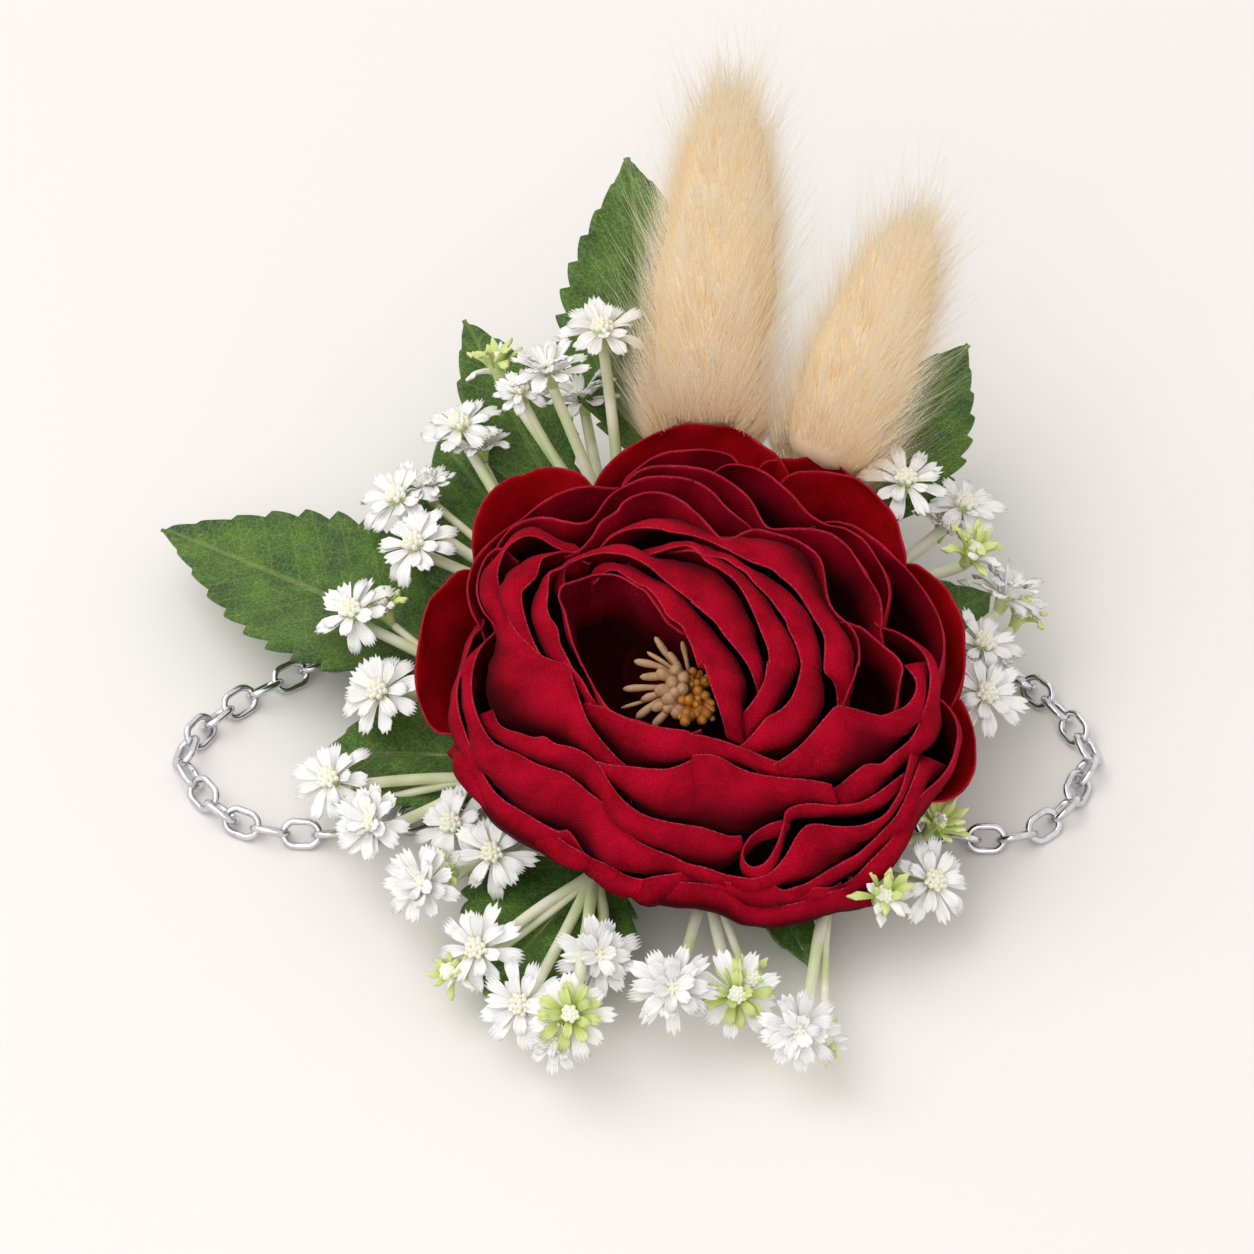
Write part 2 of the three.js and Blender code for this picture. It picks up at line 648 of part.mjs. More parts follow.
// Clasp outline angles, in radians about the middle of the hook.
const mouthStart = THREE.MathUtils.degToRad(71);
const mouthEnd = THREE.MathUtils.degToRad(150);
const leverTipAngle = THREE.MathUtils.degToRad(88);

function arcBand(centreX, outer, inner, from, to) {
  const shape = new THREE.Shape();
  shape.absarc(centreX, 0, outer, from, to, false);
  shape.absarc(centreX, 0, inner, to, from, true);
  shape.closePath();
  return shape;
}

function roundBar(radius, thickness, x, y) {
  const bar = new THREE.CylinderGeometry(radius, radius, thickness, claspSides / 2);
  return bar.rotateX(Math.PI / 2).translate(x, y, 0);
}

// Lobster clasp: a cast hook with an eye, a sprung lever across its mouth and the lever's pin.
function buildClasp(lastPlace) {
  const end = chainEnd(lastPlace, claspMiddle);
  const clasp = new THREE.Group();
  clasp.position.copy(end.pivot);
  clasp.rotation.z = end.heading;
  corsage.add(clasp);
  const eyeX = (eyeHoleRadius + eyeRadius) / 2 - (wireThickness + hingeSlack) / 2;
  const hookX = eyeX + claspLength;
  const bandMiddle = (claspRadius + claspHoleRadius) / 2;
  const pivotX = hookX + bandMiddle * Math.cos(mouthEnd);
  const pivotY = bandMiddle * Math.sin(mouthEnd);

  const hookArc = arcBand(hookX, claspRadius, claspHoleRadius, mouthEnd, mouthStart + 2 * Math.PI);
  const hook = slab(hookArc, claspThickness);
  const neckStart = (eyeHoleRadius + eyeRadius) / 2;
  const neckLength = claspLength - claspHoleRadius - neckStart;
  const neck = new THREE.BoxGeometry(neckLength, claspNeckWidth, eyeThickness);
  neck.translate(eyeX + neckStart + neckLength / 2, 0, 0);
  const eye = roundBar(eyeRadius, eyeThickness, eyeX, 0);
  const boss = roundBar(knuckleRadius, claspThickness, pivotX, pivotY);
  const body = cut(fuse([hook, neck, eye, boss]), [
    roundBar(eyeHoleRadius, eyeThickness + cutOverrun, eyeX, 0),
    roundBar(knuckleRadius + seatGap, leverThickness + 2 * seatGap, pivotX, pivotY),
    roundBar(pinRadius + pinClearance, claspThickness + cutOverrun, pivotX, pivotY),
  ]);
  addPart(clasp, 'clasp_body', body, steel);

  const band = slab(arcBand(hookX, claspRadius, claspHoleRadius, leverTipAngle, mouthEnd), leverThickness);
  const knuckle = roundBar(knuckleRadius, leverThickness, pivotX, pivotY);
  const thumbLength = claspRadius - bandMiddle + knuckleRadius;
  const thumb = new THREE.BoxGeometry(knuckleRadius, thumbLength, leverThickness);
  thumb.rotateZ(mouthEnd - Math.PI / 2).translate(
    pivotX + thumbLength / 2 * Math.cos(mouthEnd), pivotY + thumbLength / 2 * Math.sin(mouthEnd), 0,
  );
  const lever = cut(fuse([band, knuckle, thumb]), [
    roundBar(pinRadius + pinClearance, leverThickness + cutOverrun, pivotX, pivotY),
  ]);
  const leverMesh = addPart(clasp, 'clasp_lever', lever.translate(-pivotX, -pivotY, 0), steel);
  leverMesh.position.set(pivotX, pivotY, 0);
  const pin = roundBar(pinRadius, claspThickness, pivotX, pivotY);
  addPart(clasp, 'clasp_pin', pin, steel);
}

buildFelt();
buildPlate();
buildKnot();
buildFlower();
buildLeaves();
buildSprays();
buildTails();
const ringLength = 2 * ringRadius + fastenerGap;
const hookLength = eyeRadius + claspLength + claspRadius + fastenerGap;
const leftEnd = buildChain('left', -1, loopLeftReach, leftRouteShares, leftRunShares, ringLength);
const rightEnd = buildChain('right', 1, loopRightReach, rightRouteShares, rightRunShares, hookLength);
buildJumpRing(leftEnd);
buildClasp(rightEnd);

export default corsage;
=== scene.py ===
import json
import math
import random

import bpy
import numpy as np
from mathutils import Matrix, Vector, noise


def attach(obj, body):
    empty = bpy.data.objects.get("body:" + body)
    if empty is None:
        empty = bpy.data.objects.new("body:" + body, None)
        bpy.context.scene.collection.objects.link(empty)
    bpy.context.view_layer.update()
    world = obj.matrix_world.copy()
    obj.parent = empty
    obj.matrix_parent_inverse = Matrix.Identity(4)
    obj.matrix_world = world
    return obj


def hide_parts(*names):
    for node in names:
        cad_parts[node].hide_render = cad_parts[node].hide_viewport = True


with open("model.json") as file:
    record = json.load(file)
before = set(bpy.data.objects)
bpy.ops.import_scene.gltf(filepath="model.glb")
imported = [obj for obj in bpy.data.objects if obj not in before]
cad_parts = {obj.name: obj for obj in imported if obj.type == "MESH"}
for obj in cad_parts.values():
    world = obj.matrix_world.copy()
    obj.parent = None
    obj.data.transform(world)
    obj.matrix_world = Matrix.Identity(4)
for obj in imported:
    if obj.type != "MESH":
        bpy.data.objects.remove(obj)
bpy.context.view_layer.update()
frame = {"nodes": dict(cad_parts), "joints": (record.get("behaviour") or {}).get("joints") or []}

random.seed(20)
MM = 0.001
TURN = 2 * math.pi
UP = np.array([0, 0, 1.0])

# --- the photograph's view: its size in pixels and its scale, and the camera's place, in mm
PHOTO_SIZE = 1254
MM_PER_PIXEL = 0.11
CAMERA_UP = np.array([0.0, 0.731, 0.682])
TO_CAMERA = np.array([0.0, -0.682, 0.731])
PICTURE_MIDDLE = np.array([-7.48, 13.04, 12.17])
CAMERA_DISTANCE = 2500.0
SHARP_PLANE = 12.0
SIGHT_STEPS = 12

# The flower's own frame: its foot, and its three directions, of which the last leans towards the front.
FLOWER_FOOT = np.array([0.0, 2.3, 9.9])
FLOWER_TILT = math.radians(14)
FLOWER_WAYS = np.array([[1, 0, 0], [0, math.cos(FLOWER_TILT), math.sin(FLOWER_TILT)],
                        [0, -math.sin(FLOWER_TILT), math.cos(FLOWER_TILT)]])


def pixel_ray(x, y):
    """A point on the line of sight of a pixel of the photograph and the line's direction, in mm."""
    across = (x - PHOTO_SIZE / 2) * MM_PER_PIXEL
    up = (PHOTO_SIZE / 2 - y) * MM_PER_PIXEL
    point = PICTURE_MIDDLE + TO_CAMERA * SHARP_PLANE + np.array([across, 0, 0]) + CAMERA_UP * up
    return point, unit(PICTURE_MIDDLE + TO_CAMERA * CAMERA_DISTANCE - point)


def from_flower(points):
    return FLOWER_FOOT + np.asarray(points, float) @ FLOWER_WAYS


def seen_at_height(x, y, height):
    """The point in the flower's frame that a pixel shows at a height, or on a surface of heights."""
    point, ray = pixel_ray(x, y)
    start, slope = FLOWER_WAYS @ (point - FLOWER_FOOT), FLOWER_WAYS @ ray
    spot = start
    for _ in range(SIGHT_STEPS):
        wanted = height(math.hypot(spot[0], spot[1])) if callable(height) else height
        spot = start + slope * ((wanted - start[2]) / slope[2])
    return spot


def on_heading(heading, reach, height):
    angle = math.radians(heading)
    return np.array([reach * math.sin(angle), reach * math.cos(angle), height])


# --- materials
def srgb(*values):
    """A colour as read from a picture, 0 to 255, as the linear value that a shader takes."""
    shares = [value / 255 for value in values]
    return (*[v / 12.92 if v <= 0.04045 else ((v + 0.055) / 1.055) ** 2.4 for v in shares], 1)


class Shade:
    """A material with short calls for its nodes. A tuple is a colour as read from a picture."""

    def __init__(self, name, **sockets):
        self.material = bpy.data.materials.new(name)
        self.material.use_nodes = True
        self.tree = self.material.node_tree
        self.shader = self.tree.nodes["Principled BSDF"]
        for socket, value in sockets.items():
            self.join(value, self.shader.inputs[socket.replace("_", " ")])

    def join(self, value, socket):
        if isinstance(value, bpy.types.NodeSocket):
            self.tree.links.new(value, socket)
        else:
            socket.default_value = srgb(*value) if isinstance(value, tuple) else value

    def node(self, kind, inputs=(), **settings):
        made = self.tree.nodes.new("ShaderNode" + kind)
        for key, value in settings.items():
            setattr(made, key, value)
        for key, value in dict(inputs).items():
            self.join(value, made.inputs[key])
        return made.outputs

    def math(self, operation, *values):
        return self.node("Math", enumerate(values), operation=operation)[0]

    def times(self, first, second):
        return self.math("MULTIPLY", first, second)

    def ramp(self, value, low, high, start=0.0, end=1.0):
        """A smooth step from start to end, while the value goes from low to high."""
        inputs = {"Value": value, "From Min": low, "From Max": high, "To Min": start, "To Max": end}
        return self.node("MapRange", inputs, interpolation_type="SMOOTHSTEP")[0]

    def mix(self, share, first, second):
        return self.node("MixRGB", {"Fac": share, "Color1": first, "Color2": second})[0]

    def noise(self, vector, scale, detail=3.0, rough=0.55):
        inputs = {"Vector": vector, "Scale": scale, "Detail": detail, "Roughness": rough}
        return self.node("TexNoise", inputs)["Fac"]

    def uv(self, name="cloth"):
        """A map of the piece, and its two values."""
        both = self.node("UVMap", uv_map=name)[0]
        across, along, _ = self.node("SeparateXYZ", {0: both})
        return both, across, along

    def place(self):
        return self.node("TexCoord")["Object"]

    def finish(self, colour, roughness=None, bumps=()):
        """The material, with each bump given as its height, strength and distance in mm."""
        self.join(colour, self.shader.inputs["Base Color"])
        if roughness is not None:
            self.join(roughness, self.shader.inputs["Roughness"])
        normal = {}
        for height, strength, distance in bumps:
            inputs = {"Height": height, "Strength": strength, "Distance": distance * MM, **normal}
            normal = {"Normal": self.node("Bump", inputs)[0]}
        for value in normal.values():
            self.join(value, self.shader.inputs["Normal"])
        return self.material


def cloth_material(name, dark, light, sheen, weave_bump, depth, rim_share):
    """Woven cloth: colour, weave and creases laid out in mm by the piece's cloth map, with painted shade that
    deepens down from the rim and, on petal faces, towards the next petal, and a painted highlight on the weave.
    """
    shade = Shade(name, Sheen_Weight=sheen, Sheen_Roughness=0.4, Sheen_Tint=CLOTH_SHEEN,
                  Specular_IOR_Level=0.05)
    uv, across, along = shade.uv()
    cloudy, speck = shade.noise(uv, 0.16, 4.0), shade.noise(uv, 2.6, 2.0)
    threads = []
    for way, scale in ((across, 0.9), (along, 1.3)):
        bent = shade.math("ADD", way, shade.times(shade.noise(uv, scale), 0.9))
        threads.append(shade.math("SINE", shade.times(bent, math.pi / WEAVE_PITCH)))
    weave = shade.times(*threads)
    tone = shade.math("ADD", shade.ramp(cloudy, 0.3, 0.7, 0.0, 0.7), shade.ramp(speck, 0.3, 0.7, 0.0, 0.3))
    # The weave's thread crossings turn lighter pink in patches: partly the cloth's weave, partly a painted
    # sheen highlight.
    thread_highlight = shade.times(shade.ramp(weave, 0.1, 0.9), shade.ramp(cloudy, 0.35, 0.65, 0.08, 0.26))
    colour = shade.mix(thread_highlight, shade.mix(tone, dark, light), THREAD_HIGHLIGHT)
    # Painted shade: the cloth darkens with its distance down from the rim, and a petal face also darkens
    # towards the next petal's rim, where shade falls.
    most, start, end = depth
    painted_shade = shade.ramp(along, start, end, 0.0, most)
    if name == "petal_face":
        near = shade.ramp(shade.uv("closeness")[1], 0.04, 0.92)
        painted_shade = shade.math("MAXIMUM", painted_shade, shade.times(shade.math("POWER", near, 1.6), 0.9))
    colour = shade.mix(painted_shade, colour, PAINTED_SHADE_COLOUR)
    if rim_share:
        broken = shade.ramp(shade.noise(uv, 2.2), 0.46, 0.62, 0.25, 1.0)
        mark = shade.times(shade.times(shade.ramp(along, 0.04, 0.2, 1.0, 0.0), broken), rim_share)
        colour = shade.mix(mark, colour, RIM_LIGHT)
    return shade.finish(colour, shade.ramp(speck, 0.2, 0.8, 0.74, 0.9),
                        [(cloudy, 0.25, 0.5), (weave, 0.5 * weave_bump, 0.05)])


def plain_material(name, first, second, scale, low, high, bump):
    """Two colours in spots, with the roughness from low to high."""
    shade = Shade(name)
    spots = shade.noise(shade.place(), scale, 4.0)
    colour = shade.mix(shade.ramp(spots, 0.35, 0.65), first, second)
    return shade.finish(colour, shade.ramp(spots, 0.2, 0.8, low, high), [(spots, 0.35, bump)])


WEAVE_PITCH = 0.24
# Colours of the sheen tint, the painted thread highlight, the painted shade and the fraying rim.
CLOTH_SHEEN, THREAD_HIGHLIGHT = (255, 120, 150), (208, 36, 66)
PAINTED_SHADE_COLOUR, RIM_LIGHT = (24, 0, 2), (222, 96, 116)
# The inside cloth is darker partly as the cloth's inner side and partly as painted shade on the petals' inner
# faces; the heart cloth is darker still, painted shade for the bud's heart. Each cloth's three numbers after
# the weave give its painted shade: how dark, and the depths in mm where it starts and ends.
PETAL_FACE = cloth_material("petal_face", (120, 0, 16), (190, 5, 40), 0.08, 1.0, (0.2, 8, 16), 0.5)
PETAL_INSIDE = cloth_material("petal_inside", (112, 0, 14), (160, 4, 32), 0.05, 0.9, (0.96, 1, 5.5), 0.5)
PETAL_HEART = cloth_material("petal_heart", (84, 0, 10), (122, 1, 22), 0.04, 0.9, (0.88, 4, 11), 0.5)
PETAL_SMOOTH = cloth_material("petal_smooth", (122, 0, 5), (162, 0, 10), 0.0, 0.4, (0.75, 3, 10), 0.35)
PETAL_RIM = cloth_material("petal_fray", (132, 6, 26), (190, 40, 64), 0.1, 1.0, (0, 0, 1), 0)


# --- lines
def unit(vectors):
    vectors = np.asarray(vectors, float)
    return vectors / np.linalg.norm(vectors, axis=-1, keepdims=True)


def swung(turn, side, front):
    return np.cos(turn) * side + np.sin(turn) * front


def wave(x, y, z, seed=Vector()):
    """Smooth noise about 0 at a place."""
    return noise.noise(Vector((x, y, z)) + seed)


def lengths_along(line):
    return np.r_[0, np.cumsum(np.linalg.norm(np.diff(line, axis=0), axis=1))]


def points_at(wanted, lengths, line):
    return np.stack([np.interp(wanted, lengths, line[:, axis]) for axis in range(line.shape[1])], 1)


def smooth_line(points, steps=8, power=0):
    """A Catmull-Rom line through points, which is even with a power of 0 and centripetal with a half."""
    points = np.asarray(points, float)
    walk = np.vstack([2 * points[0] - points[1], points, 2 * points[-1] - points[-2]])
    made = []
    for a, b, c, d in zip(walk, walk[1:], walk[2:], walk[3:]):
        p, q, r = math.dist(a, b) ** power, math.dist(b, c) ** power, math.dist(c, d) ** power
        first = q * ((b - a) / p - (c - a) / (p + q)) + c - b
        second = c - b - q * ((d - b) / (q + r) - (d - c) / r)
        for step in range(steps):
            t = step / steps
            made.append(b + first * t + (3 * (c - b) - 2 * first - second) * t ** 2
                        + (2 * (b - c) + first + second) * t ** 3)
    return np.array([*made, points[-1]])


def blur(values, width):
    """A running mean by a bell curve, of numbers or of points, with the ends held."""
    if values.ndim > 1:
        return np.stack([blur(column, width) for column in values.T], 1)
    reach = int(math.ceil(3 * width))
    bell = np.exp(-0.5 * (np.arange(-reach, reach + 1) / width) ** 2)
    padded = np.pad(values, reach, mode="reflect", reflect_type="odd")
    return np.convolve(padded, bell / bell.sum(), mode="valid")


def smoothstep(low, high, value):
    share = np.clip((value - low) / (high - low), 0, 1)
    return share * share * (3 - 2 * share)


def frames_along(line):
    """For each point of a line, two directions across it that don't twist."""
    tangents = unit(np.gradient(line, axis=0))
    side = unit(np.cross(tangents[0], [0.3, 0.2, 1.0]))
    sides = []
    for tangent in tangents:
        side = unit(side - tangent * (side @ tangent))
        sides.append(side)
    return np.array(sides), np.cross(tangents, sides)


# --- meshes
def make_piece(name, points, faces, materials, kinds=None, uvs=None, smooth=True):
    """A mesh object from points in mm, with each face's material and, for each point, its cloth map."""
    mesh = bpy.data.meshes.new(name)
    mesh.from_pydata([tuple(float(v) * MM for v in p) for p in points], [], faces)
    for material in materials:
        mesh.materials.append(material)
    if kinds is not None:
        mesh.polygons.foreach_set("material_index", kinds)
    mesh.polygons.foreach_set("use_smooth", [smooth] * len(mesh.polygons))
    mesh.update()
    piece = bpy.data.objects.new(name, mesh)
    bpy.context.scene.collection.objects.link(piece)
    if uvs is not None:
        add_map(piece, "cloth", uvs)
    return piece


def add_map(piece, name, pairs):
    mesh = piece.data
    corners = np.zeros(len(mesh.loops), np.int32)
    mesh.loops.foreach_get("vertex_index", corners)
    mesh.uv_layers.new(name=name).data.foreach_set("uv", np.asarray(pairs, np.float32)[corners].ravel())


def hand_over(piece, node=None, body="root"):
    """A finished piece: the body that it rides, and the solid that it replaces."""
    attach(piece, body)
    if node in frame["nodes"]:
        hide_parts(node)


def thicken(piece, thickness, offset=0.0, inner=0, rim=0):
    sheet = piece.modifiers.new("thickness", "SOLIDIFY")
    sheet.thickness = thickness * MM
    sheet.offset = offset
    sheet.use_even_offset = False
    sheet.material_offset = inner
    sheet.material_offset_rim = rim


def grid_faces(rows, columns, closed=False):
    """The faces between rows of points, where each row may close into a ring."""
    return [(row * columns + column, row * columns + (column + 1) % columns,
             (row + 1) * columns + (column + 1) % columns, (row + 1) * columns + column)
            for row in range(rows - 1) for column in range(columns if closed else columns - 1)]


def end_faces(rows, columns):
    return [tuple(range(columns))[::-1], tuple(range((rows - 1) * columns, rows * columns))]


def turns(count):
    return [TURN * step / count for step in range(count)]


def rings(spots, radii, across, up, sides):
    """Round rings of points, one about each spot."""
    angles = np.array(turns(sides))[None, :, None]
    radii = np.broadcast_to(radii, len(spots))[:, None, None]
    return (spots[:, None] + radii * swung(angles, across[:, None], up[:, None])).reshape(-1, 3)


class Build:
    """Points and faces gathered into one mesh of several materials."""

    def __init__(self):
        self.points, self.faces, self.kinds, self.maps = [], [], [], []

    def add(self, points, faces, kind, maps=None):
        start = len(self.points)
        self.points.extend(points)
        self.faces.extend(tuple(start + index for index in face) for face in faces)
        self.kinds.extend([kind] * len(faces))
        self.maps.extend(maps or [(0.0, 0.0)] * len(points))

    def tube(self, line, radii, kind, sides=8):
        """A round tube along a line, with one radius for each point or for all."""
        line = np.asarray(line, float)
        maps = [(step / sides, length) for length in lengths_along(line) for step in range(sides)]
        faces = grid_faces(len(line), sides, closed=True) + end_faces(len(line), sides)
        self.add(rings(line, radii, *frames_along(line), sides), faces, kind, maps)

    def piece(self, name, materials):
        return make_piece(name, self.points, self.faces, materials, self.kinds, self.maps)


# --- petals
# Petal edges as read off four enlarged quarters of the photograph: U upper left, R upper right,
# L lower left, Q lower right, each with its corner's pixel, and the enlargement.
QUARTERS = {"U": (400, 410), "R": (690, 410), "L": (400, 660), "Q": (690, 660)}
ENLARGED = 5.2267
